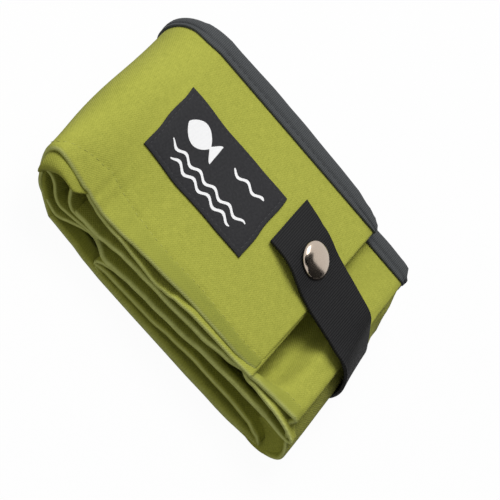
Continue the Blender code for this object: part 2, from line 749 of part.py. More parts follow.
    # Label sewn on the flap
    label_rows = []
    for x in spaced(LABEL_X - LABEL_LENGTH / 2, LABEL_X + LABEL_LENGTH / 2, STATIONS // 2):
        row = flap_front_row(x)
        ys = spaced(LABEL_Y + LABEL_WIDTH / 2, LABEL_Y - LABEL_WIDTH / 2, STATIONS // 2)
        lift = CLOTH / 2 + FIT + LABEL_THICKNESS / 2
        label_rows.append([Vector((x, y, height_on(row, y) + lift)) for y in ys])
    sheet("label_patch", label_rows, LABEL_THICKNESS, label)

    # Strap, sewn to the foot of the sloping end
    tongue = sheet("strap_tongue", tongue_rows(), STRAP_THICKNESS, webbing)
    gap_share = STRAP_SWING_GAP / slope_length(outer_end_curves())
    riser_rows = strap_end_rows(STRAP_HINGE_SHARE + gap_share, 1.0, 1)
    tail_rows = strap_end_rows(STRAP_TAIL_FOOT_SHARE, STRAP_HINGE_SHARE - gap_share, 0)
    sheet("strap_riser", riser_rows, STRAP_THICKNESS, webbing)
    sheet("strap_tail", tail_rows, STRAP_THICKNESS, webbing)

    # Snap fastener: cap and socket on the strap, stud and post on the flap
    snap = Vector((SNAP_X, strap_y(SNAP_X), 0.0))
    shank = SNAP_SHANK / 2
    punch(tongue, snap + Vector((0.0, 0.0, STRAP_SNAP_Z)), SNAP_SHANK + 2 * SNAP_FIT, STRAP_THICKNESS)
    cap_z = STRAP_SNAP_Z + STRAP_THICKNESS / 2 + SNAP_FIT
    cap_radius = SNAP_CAP_DIAMETER / 2
    dome = [(shank, -STRAP_THICKNESS - SNAP_FIT), (shank, 0.0), (cap_radius, 0.0), (cap_radius, SNAP_CAP_RIM)]
    for step in range(1, DOME_STEPS):
        angle = math.pi / 2 * step / DOME_STEPS
        dome.append((cap_radius * math.cos(angle), SNAP_CAP_RIM + SNAP_CAP_DOME * math.sin(angle)))
    profile = [(0.0, -STRAP_THICKNESS - SNAP_FIT)] + dome + [(0.0, SNAP_CAP_RIM + SNAP_CAP_DOME)]
    turned("snap_cap", profile, snap + Vector((0.0, 0.0, cap_z)), nickel)

    socket_top = STRAP_SNAP_Z - STRAP_THICKNESS / 2 - SNAP_FIT
    outer, bore = SNAP_SOCKET_DIAMETER / 2, SNAP_SOCKET_BORE / 2
    ring = [(bore, -SNAP_SOCKET_HEIGHT), (outer, -SNAP_SOCKET_HEIGHT), (outer, 0.0), (bore, 0.0)]
    turned("snap_socket", ring, snap + Vector((0.0, 0.0, socket_top)), nickel)

    flap_top = height_on(flap_front_row(SNAP_X), snap.y) + CLOTH / 2
    punch(flap, snap + Vector((0.0, 0.0, flap_top - CLOTH / 2)), SNAP_SHANK + 2 * SNAP_FIT, CLOTH)
    flange_z = flap_top + SNAP_FIT
    neck_z = SNAP_STUD_FLANGE_HEIGHT
    knob_z = neck_z + SNAP_STUD_HEIGHT
    foot_z = -(CLOTH + 2 * SNAP_FIT)
    stud = [
        (0.0, foot_z), (shank, foot_z), (shank, 0.0), (SNAP_STUD_FLANGE / 2, 0.0),
        (SNAP_STUD_FLANGE / 2, neck_z), (SNAP_STUD_NECK / 2, neck_z),
        (SNAP_STUD_KNOB / 2, mix(neck_z, knob_z, 0.6)), (SNAP_STUD_NECK / 2, knob_z), (0.0, knob_z),
    ]
    turned("snap_stud", stud, snap + Vector((0.0, 0.0, flange_z)), nickel)
    post = [
        (shank + SNAP_FIT, -SNAP_POST_HEIGHT), (SNAP_POST_DIAMETER / 2, -SNAP_POST_HEIGHT),
        (SNAP_POST_DIAMETER / 2, 0.0), (shank + SNAP_FIT, 0.0),
    ]
    turned("snap_post", post, snap + Vector((0.0, 0.0, flap_top - CLOTH - SNAP_FIT)), nickel)


def outer_box(objects):
    """Lowest and highest corners of the objects as they are evaluated."""
    bpy.context.view_layer.update()
    graph = bpy.context.evaluated_depsgraph_get()
    corners = [
        made.matrix_world @ Vector(corner)
        for made in objects
        for corner in made.evaluated_get(graph).bound_box
    ]
    low = [min(corner[axis] for corner in corners) for axis in range(len(corners[0]))]
    high = [max(corner[axis] for corner in corners) for axis in range(len(corners[0]))]
    return Vector(low), Vector(high)


def stand_at_origin(pivots):
    """Puts the bundle's bottom centre on the origin, and each moving piece's origin on its axis."""
    solids = [made for made in bpy.context.scene.objects if made.type == "MESH"]
    low, high = outer_box([made for made in solids if not made.hide_render])
    shift = Vector(((low.x + high.x) / 2, (low.y + high.y) / 2, low.z))
    for made in solids:
        pivot = shift
        for names, (x, z) in pivots:
            if made.name.startswith(names):
                pivot = Vector((x, 0.0, z))
        made.data.transform(Matrix.Translation(-pivot))
        made.location = pivot - shift
    for names, (x, z) in pivots:
        print("axis of", names[0], "in metres: x", round(x - shift.x, 5), "z", round(z - shift.z, 5))


build()
stand_at_origin(
    (
        (FLAP_NODES, (FLAP_PIVOT_X, BUNDLE_HEIGHT / 2)),
        (("strap_riser",), strap_pivot()),
        (TONGUE_NODES, (STRAP_CREASE_X, STRAP_CREASE_Z)),
    )
)
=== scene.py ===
# %% [markdown]
# # A foldable litter box, packed away
# The real thing is a tub sewn from coated cloth, with a dark tape bound over its rim. To pack it,
# both long walls are laid flat on each other and the long strip that this makes is folded in
# thirds. The last third is the flap on top, and a webbing strap snaps down onto it.
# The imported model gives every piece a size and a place. This lesson dresses it: cloth with folds
# and seams in place of the plain solids, woven finishes, a light, a floor and a camera.

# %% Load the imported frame
import math

import bpy
from mathutils import Matrix, Vector, noise


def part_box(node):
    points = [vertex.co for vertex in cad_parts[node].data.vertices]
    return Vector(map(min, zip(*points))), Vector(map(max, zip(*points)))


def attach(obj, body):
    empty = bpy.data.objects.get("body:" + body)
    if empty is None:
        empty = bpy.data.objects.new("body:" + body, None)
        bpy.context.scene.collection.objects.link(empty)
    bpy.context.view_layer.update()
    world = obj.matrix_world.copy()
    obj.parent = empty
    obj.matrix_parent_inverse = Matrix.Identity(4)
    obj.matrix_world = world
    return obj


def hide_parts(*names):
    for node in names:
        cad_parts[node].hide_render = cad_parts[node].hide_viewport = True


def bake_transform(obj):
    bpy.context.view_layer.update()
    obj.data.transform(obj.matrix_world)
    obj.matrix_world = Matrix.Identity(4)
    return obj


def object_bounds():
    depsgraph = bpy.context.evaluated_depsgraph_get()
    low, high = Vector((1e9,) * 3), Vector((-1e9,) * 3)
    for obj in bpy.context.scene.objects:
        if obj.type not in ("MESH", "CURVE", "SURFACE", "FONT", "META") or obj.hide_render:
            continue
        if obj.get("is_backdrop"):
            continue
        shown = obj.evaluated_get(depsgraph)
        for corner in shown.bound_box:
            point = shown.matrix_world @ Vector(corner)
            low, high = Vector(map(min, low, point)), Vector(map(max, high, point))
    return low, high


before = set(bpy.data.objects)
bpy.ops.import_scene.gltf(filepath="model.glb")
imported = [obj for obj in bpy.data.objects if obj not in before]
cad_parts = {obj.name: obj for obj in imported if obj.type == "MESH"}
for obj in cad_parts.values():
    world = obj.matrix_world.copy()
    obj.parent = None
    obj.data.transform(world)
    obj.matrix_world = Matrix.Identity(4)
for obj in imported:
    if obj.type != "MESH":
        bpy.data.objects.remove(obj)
cad_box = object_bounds()

# %% [markdown]
# ## The camera
# The photograph looks down on the bundle with a long lens, and the picture is turned a good way
# round. A camera built from its own right, up and back directions makes that turn easy to state:
# first the view without the turn, then the turn about the line of sight.

# %% Camera
AZIMUTH = math.radians(14.0)
ELEVATION = math.radians(50.56)
TURN = math.radians(59.81)
DISTANCE = 1.1
MODEL_OFFSET = Vector((0.00586, 0.00023, 0.0))
AIM_RIGHT, AIM_UP = 0.01138, 0.00464
LENS, SENSOR = 207.5, 36.0

sight = Vector((
    math.sin(AZIMUTH) * math.cos(ELEVATION),
    math.cos(AZIMUTH) * math.cos(ELEVATION),
    -math.sin(ELEVATION),
))
level_right = Vector((math.cos(AZIMUTH), -math.sin(AZIMUTH), 0.0))
level_up = level_right.cross(sight)
right = math.cos(TURN) * level_right + math.sin(TURN) * level_up
up = math.cos(TURN) * level_up - math.sin(TURN) * level_right

place = MODEL_OFFSET - DISTANCE * sight
aim = (MODEL_OFFSET + AIM_RIGHT * right + AIM_UP * up - place).normalized()
right = (right - right.dot(aim) * aim).normalized()
up = right.cross(aim)
camera = bpy.data.objects.new("camera", bpy.data.cameras.new("camera"))
camera.data.lens = LENS
camera.data.sensor_width = SENSOR
camera.matrix_world = Matrix((
    (right.x, up.x, -aim.x, place.x),
    (right.y, up.y, -aim.y, place.y),
    (right.z, up.z, -aim.z, place.z),
    (0.0, 0.0, 0.0, 1.0),
))
bpy.context.scene.collection.objects.link(camera)
bpy.context.scene.camera = camera
print("camera at", [round(v, 3) for v in place])

# %% [markdown]
# ## Shaders written as sums
# A finish is easier to read as arithmetic than as a tangle of nodes. This class wraps a socket, and
# each operator adds the node that does it. Numbers use Math, colours and vectors Vector Math.

# %% Sockets that can be added and multiplied
class Value:
    """An output of a node, to use in sums."""

    def __init__(self, finish, socket):
        self.finish = finish
        self.socket = socket

    def sum(self, operation, first, second):
        kind = "ShaderNodeMath" if self.socket.type == "VALUE" else "ShaderNodeVectorMath"
        return self.finish.node(kind, {"operation": operation}, {0: first, 1: second})

    def __add__(self, other):
        return self.sum("ADD", self, other)

    def __radd__(self, other):
        return self.sum("ADD", other, self)

    def __sub__(self, other):
        return self.sum("SUBTRACT", self, other)

    def __rsub__(self, other):
        return self.sum("SUBTRACT", other, self)

    def __mul__(self, other):
        return self.sum("MULTIPLY", self, other)

    def __rmul__(self, other):
        return self.sum("MULTIPLY", other, self)

    def sine(self):
        return self.sum("SINE", self, 0.0)

    def out(self, name):
        return Value(self.finish, self.socket.node.outputs[name])


class Finish:
    """A material under construction, with its Principled shader."""

    def __init__(self, name, roughness, metallic=0.0, specular=0.5):
        self.material = bpy.data.materials.new(name)
        self.material.use_nodes = True
        self.tree = self.material.node_tree
        self.shader = self.tree.nodes["Principled BSDF"]
        self.shader.inputs["Roughness"].default_value = roughness
        self.shader.inputs["Metallic"].default_value = metallic
        self.shader.inputs["Specular IOR Level"].default_value = specular

    def node(self, kind, settings, values):
        made = self.tree.nodes.new(kind)
        for name, setting in settings.items():
            setattr(made, name, setting)
        for name, value in values.items():
            self.feed(made.inputs[name], value)
        return Value(self, next(output for output in made.outputs if output.enabled))

    def feed(self, socket, value):
        if isinstance(value, Value):
            self.tree.links.new(value.socket, socket)
        elif isinstance(value, (int, float)) and socket.type == "VECTOR":
            socket.default_value = (value, value, value)
        else:
            socket.default_value = value

    def blend(self, share, first, second):
        """Two colours mixed. A Mix node takes its colours at 6 and 7 and gives the mixed one at 2."""
        made = self.tree.nodes.new("ShaderNodeMix")
        made.data_type = "RGBA"
        for index, value in ((0, share), (6, first), (7, second)):
            self.feed(made.inputs[index], value)
        return Value(self, made.outputs[2])

    def colour(self, value):
        self.feed(self.shader.inputs["Base Color"], value)

    def roughness(self, value):
        self.feed(self.shader.inputs["Roughness"], value)

    def bump(self, height, depth):
        normal = self.node("ShaderNodeBump", {}, {"Height": height, "Strength": 1.0, "Distance": depth})
        self.feed(self.shader.inputs["Normal"], normal)

    def threads(self):
        """Where a point lies on the flat cloth: metres along it and metres across it."""
        flat = self.node("ShaderNodeUVMap", {"uv_map": "cloth"}, {})
        parts = self.node("ShaderNodeSeparateXYZ", {}, {"Vector": flat})
        return parts, parts.out("Y")

    def speckle(self, along, across, scale_along, scale_across, detail=2.0):
        """Noise on the flat cloth. Each scale is the number of its blots in a metre that way."""
        at = self.node("ShaderNodeCombineXYZ", {}, {0: along * scale_along, 1: across * scale_across})
        return self.node("ShaderNodeTexNoise", {}, {"Vector": at, "Scale": 1.0, "Detail": detail})


# %% [markdown]
# ## The green cloth
# It is a coated plain weave. Up close its threads cross about twice in a millimetre, and the dye
# takes unevenly, so single threads run lighter or darker. Two sine waves make the weave, long thin
# noise makes the uneven threads, and soft noise makes the wear that folding leaves. Painted highlight
# pales the crest of each fold, and painted shade darkens the cloth outside the hem's stitches.

# %% Green cloth
def rgb(red, green, blue):
    """A colour given as a screen shows it, 0 to 255, as the shader needs it."""
    shares = [value / 255 for value in (red, green, blue)]
    return (*[s / 12.92 if s <= 0.04045 else ((s + 0.055) / 1.055) ** 2.4 for s in shares], 1.0)


def woven(finish, pitch):
    """Where a point lies on the flat cloth, and the height of a plain weave there."""
    along, across = finish.threads()
    turns = 2 * math.pi / pitch
    return along, across, (along * turns).sine() * (across * turns).sine()


WEAVE_PITCH = 0.00105
ALONG_THREAD, ACROSS_THREAD = 260, 2600
WEAR_SCALE = 26

cloth = Finish("green_cloth", 0.78, specular=0.10)
along, across, weave = woven(cloth, WEAVE_PITCH)
warp = cloth.speckle(along, across, ALONG_THREAD, ACROSS_THREAD)
weft = cloth.speckle(along, across, ACROSS_THREAD, ALONG_THREAD)
wear = cloth.speckle(along, across, WEAR_SCALE, WEAR_SCALE, detail=4.0)
base = cloth.blend(wear, rgb(164, 167, 66), rgb(172, 173, 72))
threads = cloth.blend((warp + weft - 0.55) * 1.4, rgb(138, 142, 50), base)
weave_and_hem_shade = cloth.blend(weave * 0.14 + 0.14, threads, rgb(196, 198, 98))
# Marks on the mesh: painted highlight along fold crests, painted shade outside the hem
crest_highlight, hem = [
    cloth.node("ShaderNodeAttribute", {"attribute_type": "GEOMETRY", "attribute_name": name}, {}).out("Fac")
    for name in ("crest_highlight", "hem")
]
# Painted shade: a darker green outside the hem's stitches
weave_and_hem_shade = cloth.blend(hem * ((warp + weft) * 1.1 - 0.38), weave_and_hem_shade, rgb(128, 134, 56))
# Painted highlight: a pale green along the crest of each fold
cloth.colour(cloth.blend(crest_highlight * (warp * 0.7 + wear * 0.7), weave_and_hem_shade, rgb(220, 226, 142)))
cloth.roughness(0.72 + warp * 0.15)
cloth.bump(weave * 0.5 + (warp + weft) * 0.3, 0.00009)
cloth.shader.inputs["Sheen Weight"].default_value = 0.03
print("green cloth:", len(cloth.tree.nodes), "nodes")

# %% [markdown]
# ## Tape, webbing, label and metal
# Binding tape and webbing are both ribbed across. The tape is dark grey and finely ribbed, the
# webbing nearly black with ribs wide enough to count. The label is a dense smooth weave with a
# white print, and the press fastener is nickel plate with the soft wear of handling.

# %% Tape, webbing, label and metal
LABEL_PITCH = 0.0007
METAL_SCRATCHES, METAL_SMEARS = 900.0, 90.0
THREAD_FUZZ = 4000.0


def ribbed(name, dark, light, pitch, depth, roughness, specular):
    """A woven band with ribs across it, pitch apart and depth high."""
    finish = Finish(name, roughness, specular=specular)
    along, across = finish.threads()
    rib = (along * (2 * math.pi / pitch)).sine() * 0.5 + 0.5
    fuzz = finish.speckle(along, across, 900, 2400)
    finish.colour(finish.blend(rib * fuzz * 1.2, dark, light))
    finish.bump(rib + fuzz * 0.6, depth)
    return finish


tape = ribbed(
    "rim_tape", rgb(56, 58, 60), rgb(88, 91, 92), pitch=0.0007, depth=0.00008, roughness=0.62, specular=0.15,
)
webbing = ribbed(
    "black_webbing", rgb(26, 26, 27), rgb(50, 50, 51), pitch=0.0009, depth=0.00014, roughness=0.7,
    specular=0.1,
)

label_cloth = Finish("label_cloth", 0.7, specular=0.1)
along, across, weave = woven(label_cloth, LABEL_PITCH)
fuzz = label_cloth.speckle(along, across, 900, 900)
label_cloth.colour(label_cloth.blend(fuzz, rgb(40, 40, 42), rgb(56, 56, 58)))
label_cloth.bump(weave + fuzz, 0.00005)

print_ink = Finish("white_print", 0.6)
along, across, weave = woven(print_ink, LABEL_PITCH)
print_ink.colour(print_ink.blend(weave * 0.2 + 0.3, rgb(244, 244, 244), rgb(222, 222, 224)))
print_ink.bump(weave, 0.00003)

nickel = Finish("nickel", 0.22, 1.0)
scratch = nickel.node("ShaderNodeTexNoise", {}, {"Scale": METAL_SCRATCHES, "Detail": 3.0})
smear = nickel.node("ShaderNodeTexNoise", {}, {"Scale": METAL_SMEARS, "Detail": 2.0})
nickel.colour(nickel.blend(smear, rgb(176, 160, 145), rgb(204, 190, 176)))
nickel.roughness(0.14 + smear * 0.10)
nickel.bump(scratch, 0.0000008)


def sewing_thread(name, dark, light):
    finish = Finish(name, 0.6)
    fuzz = finish.node("ShaderNodeTexNoise", {}, {"Scale": THREAD_FUZZ})
    finish.colour(finish.blend(fuzz, dark, light))
    return finish


green_thread = sewing_thread("green_thread", rgb(146, 150, 60), rgb(176, 178, 76))
dark_thread = sewing_thread("dark_thread", rgb(30, 30, 32), rgb(50, 50, 53))
print("finishes:", ", ".join(made.name for made in bpy.data.materials if made.use_nodes))

# %% [markdown]
# ## Measures of the bundle
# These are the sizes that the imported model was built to, in metres. X runs along the bundle from
# the round shoulder to the open end, Y from the folded base of the tub to its bound rim.

# %% Measures
SHOULDER_X, FLAP_END_X = -0.0600, 0.0310
CREASE_X, INNER_START_X = 0.0535, -0.0560
UNDERSIDE_END_X, INNER_TURN_X = 0.0570, 0.0465
RIM_Y, TAPE_WIDTH = 0.0490, 0.0088
# The cloth ends a little inside the tape, and lies flat from there to a little past it
CLOTH_RIM_Y = RIM_Y - 0.0011
BAND_Y = RIM_Y - TAPE_WIDTH - 0.0015
# Pieces of one wall lap by this much where they meet
LAP = 0.0004
# The walls are cloth of the full thickness. The base and what is pressed inside are finer
CLOTH, BASE_CLOTH, FINE_CLOTH, THIN_CLOTH = 0.0009, 0.0007, 0.0006, 0.0005
# How high the rim lies in each layer, from the underside up to the flap
RIM_HEIGHTS = {
    "under_front": 0.00155, "under_back": 0.0121, "inner_back": 0.0216, "inner_front": 0.02505,
    "flap_back": 0.0285, "flap_front": 0.03195,
}


def mix(first, second, share):
    return first + (second - first) * share


def ease(share):
    share = min(max(share, 0.0), 1.0)
    return share * share * (3 - 2 * share)


def through(points, share):
    """A smooth line through points, as many numbers each, at a share of the way along them."""
    at = min(max(share, 0.0), 1.0) * (len(points) - 1)
    first = min(int(at), len(points) - 2)
    part = at - first
    near = [points[min(max(first + step, 0), len(points) - 1)] for step in (-1, 0, 1, 2)]
    made = []
    for a, b, c, d in zip(*near):
        bend = 2 * a - 5 * b + 4 * c - d + part * (3 * (b - c) + d - a)
        made.append(b + 0.5 * part * (c - a + part * bend))
    return tuple(made)


def table(stations, x, eased=True):
    """A measure in metres, read off stations of (x, measure) in millimetres."""
    at = x * 1000
    if at <= stations[0][0]:
        return stations[0][1] / 1000
    for (x0, z0), (x1, z1) in zip(stations, stations[1:]):
        if at <= x1:
            part = (at - x0) / (x1 - x0)
            return mix(z0, z1, ease(part) if eased else part) / 1000
    return stations[-1][1] / 1000


def metres(point):
    return tuple(value / 1000 for value in point)


def spaced(start, end, count):
    return [mix(start, end, step / (count - 1)) for step in range(count)]


def ripple(x, y, z, size, height):
    """Slow random waves, so that no cloth lies quite flat."""
    return height * noise.noise(Vector((x / size, y / size, z / size)))


# %% [markdown]
# ## Cloth from rows
# Every wall is made the same way: a row of points crosses it from the bound rim to the base edge,
# where it folds over, and many rows follow each other along the strip. The rows become a grid of
# faces. Its map keeps the distance along and across in metres, so the weave has one size on all
# pieces, and a Solidify modifier gives the cloth its thickness. Where a fold gets a painted highlight,
# a mark on each point says how near it is to the crest, and the green finish reads that mark.

# %% Build a cloth from rows
# How wide the painted highlight along a fold's crest is
CREST_HIGHLIGHT_WIDTH = 0.00038


def walked(points):
    """How far along a line each of its points lies."""
    run = [0.0]
    for first, after in zip(points, points[1:]):
        run.append(run[-1] + math.dist(first, after))
    return run


def faces_between(rows, width, closed=False, start=0):
    """Faces between rows of points, all the way round where each row is a closed ring."""
    faces = []
    for row in range(rows - 1):
        for step in range(width if closed else width - 1):
            a = start + row * width + step
            b = start + row * width + (step + 1) % width
            faces.append((a, a + width, b + width, b))
    return faces


def put_in_scene(name, points, faces, finish, places=None):
    """A mesh with its finish. places are metres along and across the flat cloth, for each point."""
    mesh = bpy.data.meshes.new(name)
    mesh.from_pydata(points, [], faces)
    if places:
        layer = mesh.uv_layers.new(name="cloth")
        for loop in mesh.loops:
            layer.data[loop.index].uv = places[loop.vertex_index]
    mesh.materials.append(finish.material)
    made = bpy.data.objects.new(name, mesh)
    bpy.context.scene.collection.objects.link(made)
    return made


def grid(name, rows, finish, thickness, painted_fold_highlight=False):
    """A cloth from rows of points. The flag marks the crest of its fold for a painted highlight."""
    width = len(rows[0])
    points = [Vector(point) + MODEL_OFFSET for row in rows for point in row]
    middle_row = rows[len(rows) // 2]
    along, across = walked([row[width // 3] for row in rows]), walked(middle_row)
    places = [(run, reach) for run in along for reach in across]
    made = put_in_scene(name, points, faces_between(len(rows), width), finish, places)
    # Mark how near each point is to the fold's crest, for the painted highlight there
    if painted_fold_highlight:
        crest_highlight = min(range(width), key=lambda step: middle_row[step][1]) - 1
        marks = made.data.attributes.new("crest_highlight", "FLOAT", "POINT")
        for index, mark in enumerate(marks.data):
            mark.value = math.exp(-((across[index % width] - across[crest_highlight]) / CREST_HIGHLIGHT_WIDTH) ** 2)
    skin = made.modifiers.new("thickness", "SOLIDIFY")
    skin.thickness = thickness
    skin.offset = 0.0
    skin.use_rim = True
    made.data.shade_smooth()
    made["flat"] = (across[-1], along[-1])
    return made


def tell_flat(*pieces):
    """Print how large each piece is when it is laid flat."""
    for piece in pieces:
        print(piece.name, "laid flat, in mm:", [round(v * 1000) for v in piece["flat"]])


# %% A row across a wall
DOWN, UP = (0.0, -1.0), (0.0, 1.0)
FOLD_STEPS, RETURN_STEPS = 8, 4
# Points lie evenly across a wall to start with, then close together up to its base edge
ACROSS_SHARES = [step / 24 for step in range(1, 20)] + [0.8 + step / 100 for step in range(1, 21)]
MIDDLE_SHARE = 0.55
# Slow waves are at their full height this far from the tape
WAVES_GROW = 0.03


def fold_over(edge, base_y, inward, radius, back, drop=0.0):
    """The base edge of a wall, turned over: half a turn inwards and a short return."""
    x, z = edge
    side, rise = inward
    points = []
    for step in range(1, FOLD_STEPS + 1):
        angle = math.pi * step / FOLD_STEPS
        reach = radius * (1 - math.cos(angle))
        points.append((x + side * reach, base_y + radius - radius * math.sin(angle), z + rise * reach))
    for step in range(1, RETURN_STEPS + 1):
        reach = 2 * radius + drop * ease(step / RETURN_STEPS)
        points.append((x + side * reach, base_y + radius + back * step / RETURN_STEPS, z + rise * reach))
    return points


def wall_row(
    rim, middle, edge, base_y, inward, radius, back=0.012, drop=0.0, rim_shift=0.0, middle_share=MIDDLE_SHARE,
):
    """A row of points across a wall. rim, middle and edge are each an (x, z)."""
    points = [(rim[0], CLOTH_RIM_Y + rim_shift, rim[1]), (rim[0], BAND_Y + rim_shift, rim[1])]
    for share in ACROSS_SHARES:
        if share <= middle_share:
            first, after, part = rim, middle, ease(share / middle_share)
        else:
            first, after, part = middle, edge, ease((share - middle_share) / (1 - middle_share))
        y = mix(BAND_Y + rim_shift, base_y + radius, share)
        points.append((mix(first[0], after[0], part), y, mix(first[1], after[1], part)))
    return points + fold_over(edge, base_y, inward, radius, back, drop)


def turn_direction(points, share):
    """Square to a line of (x, z) points, on its inner side."""
    x0, z0 = through(points, share - 0.02)
    x1, z1 = through(points, share + 0.02)
    length = math.hypot(x1 - x0, z1 - z0)
    return ((z0 - z1) / length, (x1 - x0) / length)


def rumpled(row, size, height):
    """The row with slow waves added, growing from the tape towards the base edge."""
    made = []
    for x, y, z in row:
        grow = ease((BAND_Y - y) / WAVES_GROW)
        made.append((x, y, z + grow * ripple(x, y, z, size, height)))
    return made


def base_at(base_ys, share):
    """Where the base edge lies at a share of the way round a turn."""
    return through([(y,) for y in base_ys], share)[0] / 1000


def turn_row(
    curves, base_ys, share, radius, back=0.010, side=1.0, rim_shifts=((0, 0), (1, 0)),
    middle_share=MIDDLE_SHARE,
):
    """A row across a turn. side is 1 to fold the base edge to the inside of the turn, -1 to the outside."""
    rim, middle, edge = (metres(through(curve, share)) for curve in curves)
    inward = turn_direction(curves[2], share)
    row = wall_row(
        rim, middle, edge, base_at(base_ys, share), (side * inward[0], side * inward[1]), radius, back,
        rim_shift=table(rim_shifts, rim[1]), middle_share=middle_share,
    )
    return rumpled(row, size=0.020, height=0.0006)


# %% [markdown]
# ## The cover: top flap and shoulder
# The outer wall runs over the top as the flap, round the shoulder and on under the bundle. When the
# flap opens, this cloth bends at the shoulder, so flap and shoulder are one piece. Its base edge dips
# near the shoulder and turns down as a thick fold. The rim side of the shoulder is fuller low down
# and the base side fuller high up. The hem's stitches pull a groove, and the doubled cloth outside
# them is marked for painted shade that darkens it.

# %% Cover
FLAP_EDGE = (
    (-60, 30.6), (-55, 29.0), (-49.6, 27.8), (-40.6, 28.1), (-31.8, 29.2), (-22.1, 30.0), (-8, 30.3),
    (14, 30.3), (31, 30.1),
)
FLAP_MIDDLE = ((-60, 34.2), (-34, 32.3), (31, 32.5))
FLAP_BASE_Y = ((-60, -47.9), (-46, -47.9), (-24, -47.2), (0, -46.0), (20, -45.8), (26, -45.2), (31, -44.2))
COVER_RIM = (
    (-60, 31.95), (-66.2, 30.4), (-72.3, 27.0), (-76.8, 21.6), (-78.6, 15.4), (-77.8, 9.2), (-74.0, 4.4),
    (-67.4, 1.9), (-60, 1.55),
)
COVER_MIDDLE = (
    (-60, 34.2), (-68.2, 35.0), (-75.6, 32.6), (-80.2, 25.2), (-80.5, 16), (-78, 9.6), (-73, 4.2),
    (-66.4, 1.2), (-60, 0.45),
)
COVER_EDGE = (
    (-60, 30.6), (-67.8, 33.0), (-73.2, 34.3), (-77.9, 34.1), (-80.3, 31.2), (-80.4, 27.0), (-78.2, 21.0),
    (-74.6, 14.8), (-69.6, 9.6), (-64, 5.2), (-60, 2.6),
)
COVER_BASE_YS = (-48.4, -48.4, -48.2, -48.0, -48.2, -48.6, -48.8)
COVER_CURVES = (COVER_RIM, COVER_MIDDLE, COVER_EDGE)
# How far in from the base edge the hem is stitched
HEM_INSET = ((-60, 12.6), (-20, 7.4), (31, 5.2))
SECOND_HEM = ((25, 6.4), (53, 5.2))
HEM_DEPTH, GROOVE_WIDTH = 0.0005, 0.0010
# The painted shade sets in over this much outside the stitches, and over this much from the shoulder
HEM_SHADE_FADE, HEM_SHADE_RUN = 0.0018, 0.070
# Round the shoulder the hem narrows
SHOULDER_HEM, HEM_NARROWING, LEAST_HEM = 0.0126, 0.028, 0.003
# How far the rim draws in along the flap, along the second layer and up the open end
FLAP_TAPE_SHIFT = (
    (-60, 0.2), (-40, 0.7), (-18, 0.8), (1, 0.3), (14, -0.3), (22.5, -1.8), (27, -3.2), (29.6, -5.0),
    (31, -7.6),
)
SECOND_TAPE_SHIFT = ((-56, 0), (40, -0.1), (49.4, -0.4), (51.8, -1.0), (53.5, -4.6))
END_TAPE_SHIFT = ((2, -0.2), (8, -3.0), (16, -6.6), (23, -7.2), (25, -5.8))


def hemmed(row, stitch_y, depth=HEM_DEPTH):
    """The row with the groove that the stitches of its hem pull, puckered along its length."""
    made = []
    for x, y, z in row:
        near = math.exp(-((y - stitch_y) / GROOVE_WIDTH) ** 2)
        pucker = 0.7 + 0.8 * noise.noise(Vector((x * 420, y * 60, 0.0)))
        made.append((x, y, z - depth * near * pucker))
    return made


def mark_hem_shade(piece, base_ys, insets, from_z, strength):
    """Mark the doubled cloth outside the hem's stitches, above a height, for painted shade."""
    marks = piece.data.attributes.new("hem", "FLOAT", "POINT")
    for vertex, mark in zip(piece.data.vertices, marks.data):
        x, y, z = vertex.co - MODEL_OFFSET
        if z > from_z:
            outside = table(base_ys, x) + table(insets, x) - y
            mark.value = strength * ease(outside / HEM_SHADE_FADE + 0.3) * ease((x - SHOULDER_X) / HEM_SHADE_RUN)


def flap_row(x):
    base_y = table(FLAP_BASE_Y, x)
    row = wall_row(
        (x, RIM_HEIGHTS["flap_front"]), (x, table(FLAP_MIDDLE, x)), (x, table(FLAP_EDGE, x)), base_y, DOWN,
        radius=0.0008, rim_shift=table(FLAP_TAPE_SHIFT, x),
    )
    return hemmed(rumpled(row, size=0.026, height=0.0005), base_y + table(HEM_INSET, x))


def shoulder_hem_y(share):
    """Where the hem is stitched at a share of the way round the shoulder."""
    return base_at(COVER_BASE_YS, share) + max(SHOULDER_HEM - HEM_NARROWING * share, LEAST_HEM)


def shoulder_row(share):
    row = turn_row(COVER_CURVES, COVER_BASE_YS, share, radius=0.0010)
    return hemmed(row, shoulder_hem_y(share), HEM_DEPTH * ease((0.5 - share) * 5))


def end_fold(row, radius=0.0006, back=0.004):
    """Rows that turn the end of a wall under: half a turn, then a short way back."""
    rows = []
    for step in range(7):
        angle = math.pi * (1 - step / 6)
        out, down = radius * math.sin(angle), radius * (1 - math.cos(angle))
        rows.append([(x + out, y, z - down) for x, y, z in row])
    return [[(x - back, y, z) for x, y, z in rows[0]]] + rows[:-1]


FLAP_CLOTH_END_X = FLAP_END_X - 0.0014
cover_rows = end_fold(flap_row(FLAP_CLOTH_END_X))
cover_rows += [flap_row(x) for x in spaced(FLAP_CLOTH_END_X, SHOULDER_X + LAP, 110)]
cover_rows += [shoulder_row(share) for share in spaced(0.0, 1.0, 44)[1:]]
cover = grid("cover_cloth", cover_rows[::-1], cloth, CLOTH, painted_fold_highlight=True)
# Painted shade on the flap's cloth outside its hem
mark_hem_shade(cover, FLAP_BASE_Y, HEM_INSET, from_z=0.024, strength=0.9)
tell_flat(cover)

# %% [markdown]
# ## The rest of the outer wall
# The same wall runs on under the bundle, turns up over the open end and back along the top of the
# lower layers, where its end hides under the flap. It stays with the lower bundle, so it is a piece
# of its own. Its base edge curls up from the surface that it lies on.

